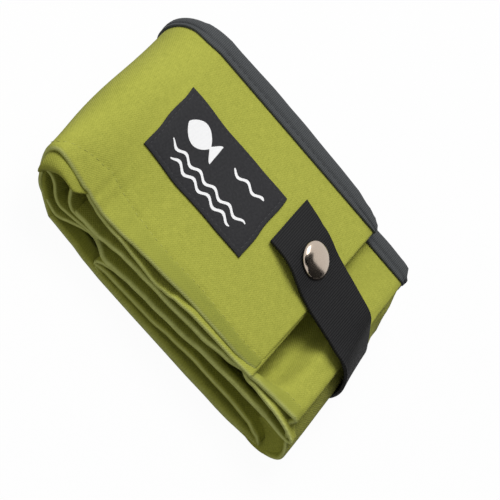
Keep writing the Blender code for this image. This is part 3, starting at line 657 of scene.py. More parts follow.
# %% Outer wall, underneath, end and second layer
UNDER_BASE_Y = ((-60, -48.8), (-30, -49.2), (40, -49.0), (57, -47.6))
UNDER_PUFF = ((-60, 1.0), (-45, 1.2), (-20, 1.6), (20, 1.9), (45, 1.8), (57, 1.2))
SECOND_PUFF = ((-56, 0.7), (-20, 0.9), (20, 0.9), (53.5, 0.8))
UNDER_EDGE = ((-60, 2.6), (-47, 2.0), (-38, 1.0), (-28, 0.5), (16, 0.8), (32, 1.4), (48.7, 2.3), (57, 2.9))
SECOND_EDGE = (
    (-56, 16.9), (-50.8, 17.3), (-43.8, 17.5), (-38.6, 19.2), (-32.3, 20.9), (-24.6, 21.7), (-12.6, 22.9),
    (7.3, 24.9), (20, 26.6), (31, 28.2), (35, 29.2), (43.8, 29.8), (48.6, 30.2), (53.5, 30.6),
)
SECOND_MIDDLE = (
    (-56, 24.0), (-20, 26.8), (10, 27.0), (26, 15.6), (33.4, 14.6), (40.0, 20.6), (47.4, 28.6),
    (53.5, 28.3),
)
SECOND_BASE_Y = ((-56, -48.6), (10, -49.0), (20, -48.2), (30, -46.6), (53.5, -46.0))
END_RIM = (
    (57, 1.55), (59.0, 2.8), (59.2, 6.0), (57.9, 10.5), (56.2, 14.8), (54.8, 18.6), (54.0, 21.6),
    (53.7, 23.6), (53.6, 24.7), (53.5, 25.05),
)
END_MIDDLE = (
    (57, 0.45), (59.8, 1.4), (62.0, 4.6), (63.2, 9.0), (62.8, 13.6), (60.6, 17.6), (57.4, 21.2),
    (54.8, 24.2), (55.2, 27.2), (53.5, 28.3),
)
END_EDGE = (
    (57, 2.9), (59.8, 4.0), (62.6, 7.2), (64.2, 11.0), (63.6, 15.0), (61.4, 18.6), (58.2, 22.4),
    (54.8, 26.0), (55.4, 29.4), (53.5, 30.6),
)
END_BASE_YS = (-47.6, -47.8, -48.6, -49.2, -49.2, -48.8, -48.0, -46.6, -46.0, -46.0)
UNDER_MIDDLE_Z = 0.00045
# Past the flap's end the wall sags nearly all the way to its base edge. The sag comes in after its
# start and goes out before its end, each over a run of its own
SAG_START_X, SAG_END_X, SAG_IN, SAG_OUT, SAG_SHARE = 0.014, 0.050, 0.008, 0.010, 0.31
# The open end is fullest just past the tape, which holds its rim in
PUFF_Y, PUFF_WIDTH, PUFF_REACH = 0.029, 0.0075, 0.0028


def sag_share(x):
    """How far across the wall its middle height is reached."""
    return MIDDLE_SHARE + SAG_SHARE * ease((x - SAG_START_X) / SAG_IN) * ease((SAG_END_X - x) / SAG_OUT)


def under_row(x):
    rim, middle, edge = (x, RIM_HEIGHTS["under_front"]), (x, UNDER_MIDDLE_Z), (x, table(UNDER_EDGE, x))
    return wall_row(rim, middle, edge, table(UNDER_BASE_Y, x), UP, radius=table(UNDER_PUFF, x), back=0.006)


def end_row(share):
    """A row of the wall where it turns up over the open end."""
    radius = mix(0.0009, 0.0005, ease(share * 3)) + 0.0003 * ease(share * 3 - 2)
    row = turn_row(
        (END_RIM, END_MIDDLE, END_EDGE), END_BASE_YS, share, radius, rim_shifts=END_TAPE_SHIFT,
        middle_share=MIDDLE_SHARE - 0.27 * math.sin(math.pi * share),
    )
    made = []
    for x, y, z in row:
        near = math.exp(-((y - PUFF_Y) / PUFF_WIDTH) ** 2)
        made.append((x + PUFF_REACH * near * ease((z - 0.003) / 0.007) * ease((0.0262 - z) / 0.005), y, z))
    return made


def second_row(x):
    middle_z, edge_z = table(SECOND_MIDDLE, x), table(SECOND_EDGE, x)
    row = wall_row(
        (x, RIM_HEIGHTS["inner_front"]), (x, middle_z), (x, edge_z), table(SECOND_BASE_Y, x), DOWN,
        radius=table(SECOND_PUFF, x), drop=max(edge_z - middle_z, 0.0), rim_shift=table(SECOND_TAPE_SHIFT, x),
        middle_share=sag_share(x),
    )
    return rumpled(row, size=0.026, height=0.0006)


outer_rows = [under_row(x) for x in spaced(SHOULDER_X + LAP, UNDERSIDE_END_X, 70)]
outer_rows += [end_row(share) for share in spaced(0.0, 1.0, 60)[1:]]
outer_rows += [second_row(x) for x in spaced(CREASE_X, INNER_START_X, 80)[1:]]
outer = grid("outer_wall_cloth", outer_rows, cloth, CLOTH, painted_fold_highlight=True)
# Painted shade, weaker, outside the second layer's hem
mark_hem_shade(outer, SECOND_BASE_Y, SECOND_HEM, from_z=0.022, strength=0.5)
tell_flat(outer)

# %% [markdown]
# ## The inner wall
# The tub's second long wall follows the same path on the inside of every fold, so its base edge is
# the second ridge under each of the first. It needs less length at the turns, and it ends short.

# %% Inner wall
FLAP_BACK_EDGE = (
    (-60, 27.4), (-55, 26.0), (-50, 25.2), (-44, 25.4), (-38, 25.9), (-28.6, 25.4), (-17.4, 24.6),
    (-12, 25.8), (-8, 27.4), (0, 28.6), (20, 28.8), (31, 29.6),
)
FLAP_BACK_BASE_Y = ((-60, -46.6), (-40, -48.4), (-10, -48.6), (23, -47.6))
LINING_RIM = (
    (-60, 28.5), (-66, 27.2), (-71.5, 23.6), (-75.0, 19.4), (-75.2, 15.4), (-72, 13.0), (-66, 12.3),
    (-60, 12.1),
)
LINING_MIDDLE = (
    (-60, 29.6), (-66.5, 28.4), (-72.6, 24.4), (-75.6, 18.6), (-74.6, 13.6), (-70.4, 10.6), (-65.4, 9.3),
    (-60, 8.8),
)
LINING_EDGE = (
    (-60, 27.4), (-65, 28.8), (-70.6, 27.4), (-75.0, 22.0), (-73.4, 17.0), (-68.6, 12.6), (-64, 9.4),
    (-60, 7.8),
)
LINING_BASE_YS = (-46.6, -44.4, -43.6, -43.0, -43.0, -43.0, -43.0)
UNDER_BACK_EDGE = (
    (-60, 7.8), (-46, 8.4), (-37, 9.6), (-30, 11.8), (-21.7, 13.4), (-12.2, 14.5), (0.9, 16.4),
    (16.5, 19.2), (34.5, 20.8), (46.5, 21.8),
)
UNDER_BACK_MIDDLE = ((-60, 8.8), (-5, 14.2), (16, 13.6), (30, 10.8), (38, 13.0), (46.5, 19.2))
SECOND_BACK_EDGE = (
    (-56, 13.2), (-40, 16.0), (-20, 19.0), (0, 22.4), (20, 24.0), (29, 25.2), (36, 26.8), (46.5, 27.5),
)
SECOND_BACK_MIDDLE = (
    (-56, 20.4), (-20, 23.4), (10, 24.0), (26, 13.2), (33.4, 12.4), (40.0, 18.0), (46.5, 25.6),
)
SECOND_BACK_BASE_Y = ((-56, -42.4), (24, -43.0), (34, -47.4), (46.5, -48.6))
TURN_RIM = (
    (46.5, 12.1), (51.4, 12.6), (54.2, 14.6), (54.8, 17.0), (53.6, 19.4), (50.6, 21.2), (46.5, 21.6),
)
TURN_MIDDLE = (
    (46.5, 19.2), (50.0, 19.4), (52.4, 20.4), (53.2, 22.0), (52.4, 23.6), (50.0, 25.0), (46.5, 25.6),
)
TURN_EDGE = (
    (46.5, 21.8), (51.4, 21.6), (56.4, 21.4), (60.2, 22.0), (60.0, 23.8), (54.4, 26.2), (46.5, 27.5),
)
TURN_BASE_YS = (-48.8, -49.0, -49.2, -49.0, -48.6)
FLAP_BACK_MIDDLE = ((20, 29.3), (28, 30.3))
UNDER_BACK_BASE_Y = ((-44, -43.0), (-32, -48.8))
# How far the return of the base edge drops under the bundle
UNDER_BACK_DROP = ((-20, 0), (10, 4.5))
LINING_INSET = 0.0006


def lined_row(x, rim_z, middle_z, edge_z, base_y, radius, **more):
    """A row across the inner wall, with the heights of its rim, middle and base edge. The rest is for
    wall_row."""
    row = wall_row((x, rim_z), (x, middle_z), (x, edge_z), base_y, DOWN, radius, back=0.010, **more)
    return rumpled(row, size=0.024, height=0.0005)


def lining_row(x):
    return lined_row(
        x, RIM_HEIGHTS["flap_back"], table(FLAP_BACK_MIDDLE, x), table(FLAP_BACK_EDGE, x),
        table(FLAP_BACK_BASE_Y, x), radius=0.0006,
        rim_shift=min(table(FLAP_TAPE_SHIFT, x), 0.0) - LINING_INSET,
    )


def under_back_row(x):
    return lined_row(
        x, RIM_HEIGHTS["under_back"], table(UNDER_BACK_MIDDLE, x), table(UNDER_BACK_EDGE, x),
        table(UNDER_BACK_BASE_Y, x), radius=0.0008, drop=table(UNDER_BACK_DROP, x), middle_share=sag_share(x),
    )


def second_back_row(x):
    middle_z, edge_z = table(SECOND_BACK_MIDDLE, x), table(SECOND_BACK_EDGE, x)
    return lined_row(
        x, RIM_HEIGHTS["inner_back"], middle_z, edge_z, table(SECOND_BACK_BASE_Y, x), radius=0.0006,
        drop=max(edge_z - middle_z, 0.0), middle_share=sag_share(x),
    )


def inner_turn_row(share):
    """The base edge folds outwards at the start of this turn and inwards at its end."""
    return turn_row(
        (TURN_RIM, TURN_MIDDLE, TURN_EDGE), TURN_BASE_YS, share, radius=0.0005, back=0.003,
        side=-math.cos(math.pi * share), middle_share=0.86,
    )


lining_curves = (LINING_RIM, LINING_MIDDLE, LINING_EDGE)
lining_rows = [lining_row(x) for x in spaced(FLAP_END_X + LAP, SHOULDER_X + LAP, 80)]
for share in spaced(0.0, 1.0, 38)[1:]:
    lining_rows.append(turn_row(lining_curves, LINING_BASE_YS, share, radius=0.0006))
lining = grid("lining_cloth", lining_rows[::-1], cloth, CLOTH, painted_fold_highlight=True)

inner_rows = [under_back_row(x) for x in spaced(SHOULDER_X + LAP, INNER_TURN_X, 70)]
inner_rows += [inner_turn_row(share) for share in spaced(0.0, 1.0, 30)[1:]]
inner_rows += [second_back_row(x) for x in spaced(INNER_TURN_X, INNER_START_X, 70)[1:]]
inner = grid("inner_wall_cloth", inner_rows, cloth, CLOTH, painted_fold_highlight=True)
tell_flat(lining, inner)

# %% [markdown]
# ## The base, folded in
# The tub's base is pulled in between the long walls, so only its folds look out. A pleat is two
# legs joined by a round fold. Under the flap and in the second layer it is mostly hidden.

# %% Pleats of the base
# A pleat keeps this far below the wall over it, measured between the middles of the cloths
BELOW_WALL, BELOW_SECOND = 0.0018, 0.0017
# Where each pleat folds over, and where it runs from and to along X
UNDER_FOLD_Y, FLAP_FOLD_Y, SECOND_FOLD_Y = -0.0490, -0.0265, -0.0445
UNDER_SPAN, FLAP_SPAN, SECOND_SPAN = (0.0556, -0.0360), (-0.0220, -0.0598), (0.0440, -0.0560)
UNDER_PLEAT = (
    (-36, 4.8), (-29.5, 6.2), (-6.6, 8.0), (3.1, 9.6), (18.1, 11.4), (33.7, 12.2), (45.5, 11.2),
    (52, 9.2), (55.6, 6.8),
)
SECOND_PLEAT = ((-56, 15.8), (-46, 17.4), (-26, 20.2), (0, 24.0), (28, 26.8), (44, 28.2))


def place_on(row, y):
    """The (x, z) of a wall's row at a place across it."""
    for first, after in zip(row, row[1:]):
        if after[1] <= y <= first[1] and after[1] < first[1]:
            part = (first[1] - y) / (first[1] - after[1])
            return mix(first[0], after[0], part), mix(first[2], after[2], part)
    return row[-1][0], row[-1][2]


def height_on(row, y):
    return place_on(row, y)[1]


def pleat_row(x, fold_y, fold_z, inner_z, radius, depth, legs=0.0006, under=None):
    """A row across a pleat, depth deep from its fold. legs is how far each leg lies from its middle.
    under is a row of cloth that the pleat keeps below."""
    ys = spaced(fold_y + depth, fold_y + 2 * radius, 13)
    heights = [mix(fold_z, inner_z, ease((y - fold_y) / depth)) for y in ys]
    if under:
        heights = [min(z, height_on(under, y) - BELOW_WALL) for y, z in zip(ys, heights)]
        fold_z = min(fold_z, heights[-1])
    points = [(x, y, z + legs) for y, z in zip(ys, heights)]
    for step in range(FOLD_STEPS + 1):
        angle = math.pi * step / FOLD_STEPS
        points.append((x, fold_y + radius - radius * math.sin(angle), fold_z + radius * math.cos(angle)))
    points += [(x, y, z - legs) for y, z in reversed(list(zip(ys, heights)))]
    return points


def under_pleat_row(x):
    fold_z = table(UNDER_PLEAT, x) + ripple(x, 0, 0, size=0.02, height=0.0006)
    inner_z = table(UNDER_BACK_MIDDLE, x) - BELOW_WALL
    return pleat_row(x, UNDER_FOLD_Y, fold_z, inner_z, radius=0.0010, depth=0.030)


def flap_pleat_row(x):
    """The one pleat that lies level all the way along."""
    return pleat_row(x, FLAP_FOLD_Y, 0.0292, inner_z=0.0306, radius=0.0006, depth=0.032, legs=0.0004)


def second_pleat_row(x):
    fold_z, inner_z = table(SECOND_PLEAT, x), table(SECOND_MIDDLE, x) - BELOW_SECOND
    return pleat_row(x, SECOND_FOLD_Y, fold_z, inner_z, radius=0.0008, depth=0.034, under=second_row(x))


under_rows = [under_pleat_row(x) for x in spaced(*UNDER_SPAN, 60)]
flap_rows = [flap_pleat_row(x) for x in spaced(*FLAP_SPAN, 24)]
second_rows = [second_pleat_row(x) for x in spaced(*SECOND_SPAN, 60)]
under_pleat = grid("base_fold_cloth", under_rows, cloth, BASE_CLOTH, painted_fold_highlight=True)
flap_pleat = grid("flap_fold_cloth", flap_rows, cloth, THIN_CLOTH)
second_pleat = grid("second_fold_cloth", second_rows, cloth, FINE_CLOTH)
tell_flat(under_pleat, flap_pleat, second_pleat)

# %% [markdown]
# At the open end the base has no room to fold, so it closes the end of the lowest layer as a
# hollow face. It hangs from the ridge of the inner wall and runs down to the outer wall's edge.

# %% Hollow face at the open end
END_FACE_TOP = ((41.0, 18.2), (46.5, 19.8), (51.4, 20.1), (56.0, 20.2), (59.4, 20.9), (60.8, 21.6))
END_FACE_FOOT = ((42.0, 5.0), (48.0, 4.2), (54.0, 3.6), (59.6, 5.0), (63.4, 9.6), (62.6, 15.4))
END_FACE_Y, END_FACE_HOLLOW = -0.0487, 0.0045
# At its inner end the face lies further in and is hollower
INNER_END_IN, INNER_END_HOLLOW = 0.010, 0.009
end_face_rows = []
for share in spaced(0.0, 1.0, 44):
    top, foot = metres(through(END_FACE_TOP, share)), metres(through(END_FACE_FOOT, share))
    inner_end = 1 - ease(share * 4)
    sunk = END_FACE_HOLLOW * ease((1.04 - share) * 5) + INNER_END_HOLLOW * inner_end
    row = []
    for part in spaced(0.0, 1.0, 17):
        y = END_FACE_Y + INNER_END_IN * inner_end + sunk * math.sin(math.pi * part) ** 0.7
        row.append((mix(top[0], foot[0], part), y, mix(top[1], foot[1], part)))
    end_face_rows.append(rumpled(row, size=0.014, height=0.0006))
end_face = grid("end_fold_cloth", end_face_rows, cloth, FINE_CLOTH)
tell_flat(end_face)

# %% [markdown]
# Round the shoulder the base has nowhere to lie flat, so it bunches up: one broad roll under the
# cover's edge and a few thin folds inside it. Each thin fold is a strip along a line of (x, z).

# %% Folds bunched up in the shoulder
THIN_FOLD_Y, THIN_FOLD_DEPTH, THIN_FOLD_RADIUS = -0.0489, 0.012, 0.0005


def thin_fold(name, line):
    """One thin fold, a strip that is turned over along a line of (x, z) points."""
    rows = []
    for share in spaced(0.0, 1.0, 44):
        x, z = metres(through(line, share))
        ys = spaced(THIN_FOLD_Y + THIN_FOLD_DEPTH, THIN_FOLD_Y + THIN_FOLD_RADIUS, 8)
        row = [(x, y, z) for y in ys]
        row += fold_over((x, z), THIN_FOLD_Y, turn_direction(line, share), THIN_FOLD_RADIUS, back=0.006)
        wave = ripple(x, 0.3, z, size=0.009, height=0.0008)
        rows.append([(px, py + wave, pz) for px, py, pz in row])
    return grid(name, rows, cloth, FINE_CLOTH, painted_fold_highlight=True)


ROLL_TOP = (
    (-58.5, 28.4), (-62, 29.2), (-67.5, 31.2), (-73, 32.2), (-76.8, 31.8), (-78.7, 29.4), (-78.8, 26.8),
    (-77.3, 22.6), (-74.9, 18.4),
)
ROLL_FOOT = (
    (-59.5, 27.6), (-63.0, 27.8), (-66.5, 27.6), (-68.9, 26.8), (-71.6, 23.6), (-73.6, 21.4),
    (-74.6, 19.6), (-74.9, 18.4), (-74.6, 17.6),
)
# The roll leans out by ROLL_LEAN down to its foot, and its end tucks in under the cover
ROLL_Y, ROLL_BULGE, ROLL_LEAN, ROLL_TUCK = -0.0478, 0.0042, 0.0010, 0.0008
# From its foot the cloth goes back in short steps, each this far in and this far along
STEP_IN, STEP_ALONG = 0.0012, 0.0002
roll_rows = []
for share in spaced(0.0, 1.0, 50):
    top, foot = metres(through(ROLL_TOP, share)), metres(through(ROLL_FOOT, share))
    fade = ease(min(share, 1 - share) * 6)
    tucked = ROLL_TUCK * ease(8 * share - 7)
    row = []
    for part in spaced(0.0, 1.0, 15):
        x, z = mix(top[0], foot[0], part), mix(top[1], foot[1], part)
        bulge = math.sin(math.pi * min(part * 1.15, 1.0)) ** 0.7 * ROLL_BULGE * fade
        wave = ripple(x, 0, z, size=0.010, height=0.0007)
        row.append((x, ROLL_Y - bulge - ROLL_LEAN * part + tucked + wave, z))
    x, y, z = row[-1]
    side, rise = turn_direction(ROLL_FOOT, share)
    for step in range(1, 11):
        row.append((x - side * STEP_ALONG * step, y + STEP_IN * step, z - rise * STEP_ALONG * step))
    roll_rows.append(row)
shoulder_folds = [grid("shoulder_roll_cloth", roll_rows, cloth, BASE_CLOTH)]
THIN_FOLDS = (
    (
        (-44.5, 16.4), (-49, 14.9), (-53.4, 13.9), (-58, 13.3), (-61.4, 12.9), (-64.6, 14.6), (-68.0, 18.2),
        (-71.6, 20.6), (-74.2, 21.0),
    ),
    ((-50.0, 17.0), (-56.1, 16.5), (-59.4, 18.4), (-61.6, 21.2), (-63.3, 24.4), (-62.8, 26.2), (-60.4, 26.8)),
    (
        (-43.0, 16.8), (-46.6, 15.0), (-50.3, 12.8), (-54.1, 10.6), (-57.4, 8.5), (-60.0, 7.8), (-65.3, 8.8),
        (-69.4, 11.0), (-72.6, 14.2), (-74.6, 18.0),
    ),
    ((-27.0, 12.2), (-31.0, 10.9), (-34.4, 8.9), (-36.3, 6.6), (-35.6, 4.4), (-32.4, 2.9), (-28.6, 2.4)),
)
for number, line in enumerate(THIN_FOLDS, 1):
    shoulder_folds.append(thin_fold("thin_fold_cloth_%d" % number, line))
tell_flat(*shoulder_folds)

# %% [markdown]
# ## Which solids the cloth stands for
# Each piece says which imported solids it replaces and which body carries it. What runs round the
# shoulder bends as the flap opens, but here it is only fixed where it lies, and no body carries it.


def bend_at_shoulder(piece):
    """Fix the piece where it lies, with no body to carry it."""
    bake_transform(piece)


bend_at_shoulder(cover)
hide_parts("front_wall_flap", "front_wall_shoulder")
bend_at_shoulder(lining)
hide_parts("back_wall_flap", "back_wall_shoulder")
CARRIED = (
    (outer, "lower_bundle", ("front_wall_underside", "front_wall_end", "front_wall_inner")),
    (inner, "lower_bundle", ("back_wall_underside", "back_wall_end", "back_wall_inner")),
    (under_pleat, "lower_bundle", ("base_pleat_underside",)),
    (second_pleat, "lower_bundle", ("base_pleat_inner",)),
    (flap_pleat, "top_flap", ("base_pleat_flap",)),
    (end_face, "lower_bundle", ()),
)
for piece, body, nodes in CARRIED:
    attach(piece, body)
    if nodes:
        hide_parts(*nodes)
for piece in shoulder_folds:
    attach(piece, "lower_bundle")

# %% [markdown]
# ## End walls
# The two end walls of the tub are folded flat inside the bundle, each just under the outer wall.
# Nothing shows of them but a shadow, yet they are what makes the flap feel thick.

# %% End walls
BELOW_OUTER_WALL = 0.0011
END_WALL_RIM_Y, END_WALL_BASE_Y = 0.028, -0.032
FLAP_WALL_SPAN, SECOND_WALL_SPAN = (0.011, -0.020), (-0.025, -0.056)


def under_wall(name, row_at, span):
    """A cloth just under the wall whose rows row_at gives."""
    rows = []
    for x in spaced(*span, 16):
        row = row_at(x)
        ys = spaced(END_WALL_RIM_Y, END_WALL_BASE_Y, 18)
        rows.append([(x, y, height_on(row, y) - BELOW_OUTER_WALL) for y in ys])
    return grid(name, rows, cloth, THIN_CLOTH)


flap_end_wall = under_wall("flap_end_wall_cloth", flap_row, FLAP_WALL_SPAN)
second_end_wall = under_wall("second_end_wall_cloth", second_row, SECOND_WALL_SPAN)
tell_flat(flap_end_wall, second_end_wall)

# %% [markdown]
# ## Binding tape
# The tape is folded over the rim and sewn down on both faces, so it is a narrow trough with a
# rounded edge. A groove runs where the stitches pull it down, and the edge outside that is fuller.
# One section, swept along the line of the rim, makes each of the four tapes.

# %% Tape section
# The upper face from the sewn edge outwards, in shares of its half thickness and of the tape's width
TAPE_SHARES = (
    (0.80, 0.0), (0.98, 0.03), (1.0, 0.12), (0.98, 0.22), (0.80, 0.27), (0.78, 0.31), (1.04, 0.36),
    (1.12, 0.48), (1.12, 0.66), (1.02, 0.82), (0.78, 0.93), (0.42, 0.985), (0.0, 1.0),
)
TAPE_HALF, HOLLOW_HALF = 0.00155, 0.00075
# The hollow stops short of the bound edge
HOLLOW_SHARE = 0.93


def tape_section():
    """A ring of (away from the cloth, y): round the outside of the tape, then back along its inside."""
    sewn_y = RIM_Y - TAPE_WIDTH
    upper = [(TAPE_HALF * high, sewn_y + (RIM_Y - sewn_y) * part) for high, part in TAPE_SHARES]
    outline = upper + [(-away, y) for away, y in reversed(upper[:-1])]
    thin = HOLLOW_HALF / (TAPE_HALF * max(high for high, part in TAPE_SHARES))
    return outline, [(away * thin, mix(sewn_y, y, HOLLOW_SHARE)) for away, y in reversed(outline)]


def tape_along(name, path, edge_shift, hem_shift=lambda x, z: 0.0, press=lambda x, z: 1.0):
    """Tape swept along a path of (x, z). The two shifts move its outer edge and its sewn edge along Y.
    press is the share of its thickness that is left."""
    outline, hollow = tape_section()
    ring = len(outline) + len(hollow)
    points = []
    for step, (x, z) in enumerate(path):
        x0, z0 = path[max(step - 1, 0)]
        x1, z1 = path[min(step + 1, len(path) - 1)]
        length = math.hypot(x1 - x0, z1 - z0)
        normal = ((z0 - z1) / length, (x1 - x0) / length)
        shift, narrow, thin = edge_shift(x, z), hem_shift(x, z), press(x, z)
        for away, y in outline + hollow:
            wave = ripple(x, z, y, size=0.012, height=0.0004)
            part = (y - RIM_Y + TAPE_WIDTH) / TAPE_WIDTH
            y += part * (shift + wave) + (1 - part) * narrow
            place = Vector((x + normal[0] * away * thin, y, z + normal[1] * away * thin))
            points.append(place + MODEL_OFFSET)
    faces = faces_between(len(path), ring, closed=True)
    last = (len(path) - 1) * ring
    for side in range(len(outline) - 1):
        near, far = (side, side + 1), (ring - 2 - side, ring - 1 - side)
        faces.append(near + far)
        faces.append((last + near[1], last + near[0], last + far[1], last + far[0]))
    along, across = walked(path), walked(outline)
    places = [(run, reach) for run in along for reach in across + across[::-1]]
    made = put_in_scene(name, points, faces, tape, places)
    made.data.shade_smooth()
    made.data.set_sharp_from_angle(angle=math.radians(50))
    made["flat"] = (across[-1], along[-1])
    return made


# %% Four tapes
COVER_NARROWING = ((-76, 2.8), (-64, 0))


def straight(start, end, z, count=50):
    return [(x, z) for x in spaced(start, end, count)]


def turned(curve, count=36):
    return [metres(through(curve, share)) for share in spaced(0.0, 1.0, count)][1:]


def flap_shift(x, z):
    """Round the shoulder the tape keeps one small shift."""
    return table(FLAP_TAPE_SHIFT, x) if z > 0.028 else -0.0003


def second_shift(x, z):
    """Below the second layer the shift goes by height, and on that layer by place along it."""
    return table(END_TAPE_SHIFT, z) if z < 0.0249 else table(SECOND_TAPE_SHIFT, x)


def end_press(x, z):
    """Where the tape runs up over the open end it is pressed to half its thickness."""
    return 1 - 0.5 * ease((z - 0.004) / 0.006) * ease((0.0256 - z) / 0.002) if x > CREASE_X else 1.0


cover_path = straight(FLAP_END_X, SHOULDER_X, RIM_HEIGHTS["flap_front"], 70) + turned(COVER_RIM)
lining_path = straight(FLAP_END_X - 0.008, SHOULDER_X, RIM_HEIGHTS["flap_back"]) + turned(LINING_RIM)
outer_path = straight(SHOULDER_X, UNDERSIDE_END_X, RIM_HEIGHTS["under_front"]) + turned(END_RIM)
outer_path += straight(CREASE_X, INNER_START_X, RIM_HEIGHTS["inner_front"], 70)[1:]
inner_path = straight(SHOULDER_X, INNER_TURN_X, RIM_HEIGHTS["under_back"]) + turned(TURN_RIM)
inner_path += straight(INNER_TURN_X, INNER_START_X, RIM_HEIGHTS["inner_back"])[1:]

cover_tape = tape_along("cover_tape", cover_path, flap_shift, lambda x, z: table(COVER_NARROWING, x))
lining_tape = tape_along("lining_tape", lining_path, lambda x, z: -0.0006)
outer_tape = tape_along("outer_wall_tape", outer_path, second_shift, press=end_press)
inner_tape = tape_along("inner_wall_tape", inner_path, lambda x, z: -0.0008)
tell_flat(cover_tape, lining_tape, outer_tape, inner_tape)

# %% [markdown]
# ## Stitches
# A row of stitches is a line of short threads that dive into the cloth at both ends. Each thread is
# a small spindle that lies on the line, and one mesh holds a whole row.

# %% Stitches
# Along a thread: shares of its length from its middle, each with a share of its thickness
SPINDLE_SHARES = ((-0.5, 0.25), (-0.34, 0.9), (0.0, 1.0), (0.34, 0.9), (0.5, 0.25))
THREAD_SIDES = 6


def stitches(name, line, finish, length=0.0021, gap=0.0010, thick=0.00020):
    """Threads along a line of points. The line already lies on the cloth."""
    run, spots = 0.0, []
    for first, after in zip(line, line[1:]):
        first, after = Vector(first), Vector(after)
        span = (after - first).length
        while run < span:
            spots.append((first.lerp(after, run / span), (after - first).normalized()))
            run += length + gap
        run -= span
    points, faces = [], []
    for spot, way in spots:
        side = way.cross(Vector((0.0, 0.0, 1.0)))
        side = side.normalized() if side.length > 0.2 else Vector((0.0, 1.0, 0.0))
        rise = side.cross(way)
        start = len(points)
        for reach, wide in SPINDLE_SHARES:
            for turn in range(THREAD_SIDES):
                angle = 2 * math.pi * turn / THREAD_SIDES
                off = side * math.cos(angle) + rise * math.sin(angle) * 0.8
                dive = rise * (-0.9 * thick if abs(reach) > 0.4 else 0.0)
                points.append(spot + way * reach * length + off * thick * wide + dive + MODEL_OFFSET)
        for a, b, c, d in faces_between(len(SPINDLE_SHARES), THREAD_SIDES, closed=True, start=start):
            faces.append((a, d, c, b))
        faces.append(tuple(start + turn for turn in reversed(range(THREAD_SIDES))))
        faces.append(tuple(len(points) - THREAD_SIDES + turn for turn in range(THREAD_SIDES)))
    made = put_in_scene(name, points, faces, finish)
    made.data.shade_smooth()
    return made


# %% Rows of stitches
SKIN = CLOTH / 2
THREAD_SINK = 0.00002
# The tape's stitches lie this far out from its sewn edge and this far above the middle of the cloth
TAPE_SEAM_OUT, TAPE_SEAM_LIFT = 0.0025, 0.00125
# Where each row of stitches runs from and to along X
FLAP_HEM_SPAN, SECOND_HEM_SPAN, TAPE_SEAM_SPAN = (-0.059, 0.0295), (0.026, 0.052), (-0.058, 0.028)


def hem_line(row_at, base_ys, insets, span):
    """Where a hem is stitched along X, on the rows of its wall."""
    line = []
    for x in spaced(*span, 60):
        y = table(base_ys, x) + table(insets, x)
        line.append((x, y, height_on(row_at(x), y) + (SKIN - THREAD_SINK)))
    return line


def shoulder_hem_line():
    """The hem's line going on round the shoulder."""
    line = []
    for share in spaced(0.44, 0.0, 30):
        y = shoulder_hem_y(share)
        x, z = place_on(shoulder_row(share), y)
        out = turn_direction(COVER_MIDDLE, share)
        line.append((x - out[0] * SKIN * 1.05, y, z - out[1] * SKIN * 1.05))
    return line


flap_hem_line = shoulder_hem_line() + hem_line(flap_row, FLAP_BASE_Y, HEM_INSET, FLAP_HEM_SPAN)
hem = stitches("flap_hem_stitches", flap_hem_line, green_thread, gap=0.0008)
bend_at_shoulder(hem)
second_hem_line = hem_line(second_row, SECOND_BASE_Y, SECOND_HEM, SECOND_HEM_SPAN)
second_hem = stitches("second_hem_stitches", second_hem_line, green_thread)
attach(second_hem, "lower_bundle")

tape_line = []
for x in spaced(*TAPE_SEAM_SPAN, 60):
    y = RIM_Y - TAPE_WIDTH + TAPE_SEAM_OUT + 0.3 * table(FLAP_TAPE_SHIFT, x)
    tape_line.append((x, y, RIM_HEIGHTS["flap_front"] + TAPE_SEAM_LIFT))
tape_stitches = stitches("tape_stitches", tape_line, dark_thread, thick=0.00014)
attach(tape_stitches, "top_flap")
print("stitched lines:", len(flap_hem_line), len(second_hem_line), len(tape_line), "points")

# %% Carry the end walls and tapes
LAYERS = ("underside", "end", "inner")
for piece, body, nodes in (
    (flap_end_wall, "top_flap", ("end_wall_flap",)),
    (second_end_wall, "lower_bundle", ("end_wall_inner",)),
    (outer_tape, "lower_bundle", tuple("rim_binding_" + layer + "_front" for layer in LAYERS)),
    (inner_tape, "lower_bundle", tuple("rim_binding_" + layer + "_back" for layer in LAYERS)),
):
    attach(piece, body)
    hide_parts(*nodes)
bend_at_shoulder(cover_tape)
bend_at_shoulder(lining_tape)
for piece, side in ((cover_tape, "front"), (lining_tape, "back")):
    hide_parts("rim_binding_flap_" + side, "rim_binding_shoulder_" + side)

# %% [markdown]
# ## The label
# A dark woven patch is sewn on the flap with its edges turned under. It lies on the cloth, so its
# heights are read off the flap's own rows. It carries a plain print in white: a fish over waves.

# %% Label
LABEL_CORNERS = ((-0.0589, 0.0180), (-0.0037, 0.0179), (-0.0574, -0.0176), (-0.0024, -0.0181))
LABEL_LENGTH, LABEL_WIDTH, LABEL_THICK = 0.055, 0.036, 0.0007
# The middle of the label lies this far above the cloth, its stitches and its print a little higher
LABEL_LIFT, LABEL_THREAD_LIFT, PRINT_LIFT = 0.00045, 0.00078, 0.00086
# It rises over its turned-in edge, and its seam pulls a groove this far in
LABEL_CROWN, CROWN_REACH = 0.00025, 0.0012
SEAM_DEPTH, SEAM_INSET, SEAM_WIDTH = 0.0002, 0.0017, 0.0005
# Its edges waver by this much
LONG_WAVER, SHORT_WAVER = 0.0006, 0.0005
FLAP_ROWS = {}


def on_flap(x, y):
    """The height of the flap's cloth at a place on it."""
    key = round(x, 5)
    if key not in FLAP_ROWS:
        FLAP_ROWS[key] = flap_row(max(x, SHOULDER_X))
    return height_on(FLAP_ROWS[key], y)


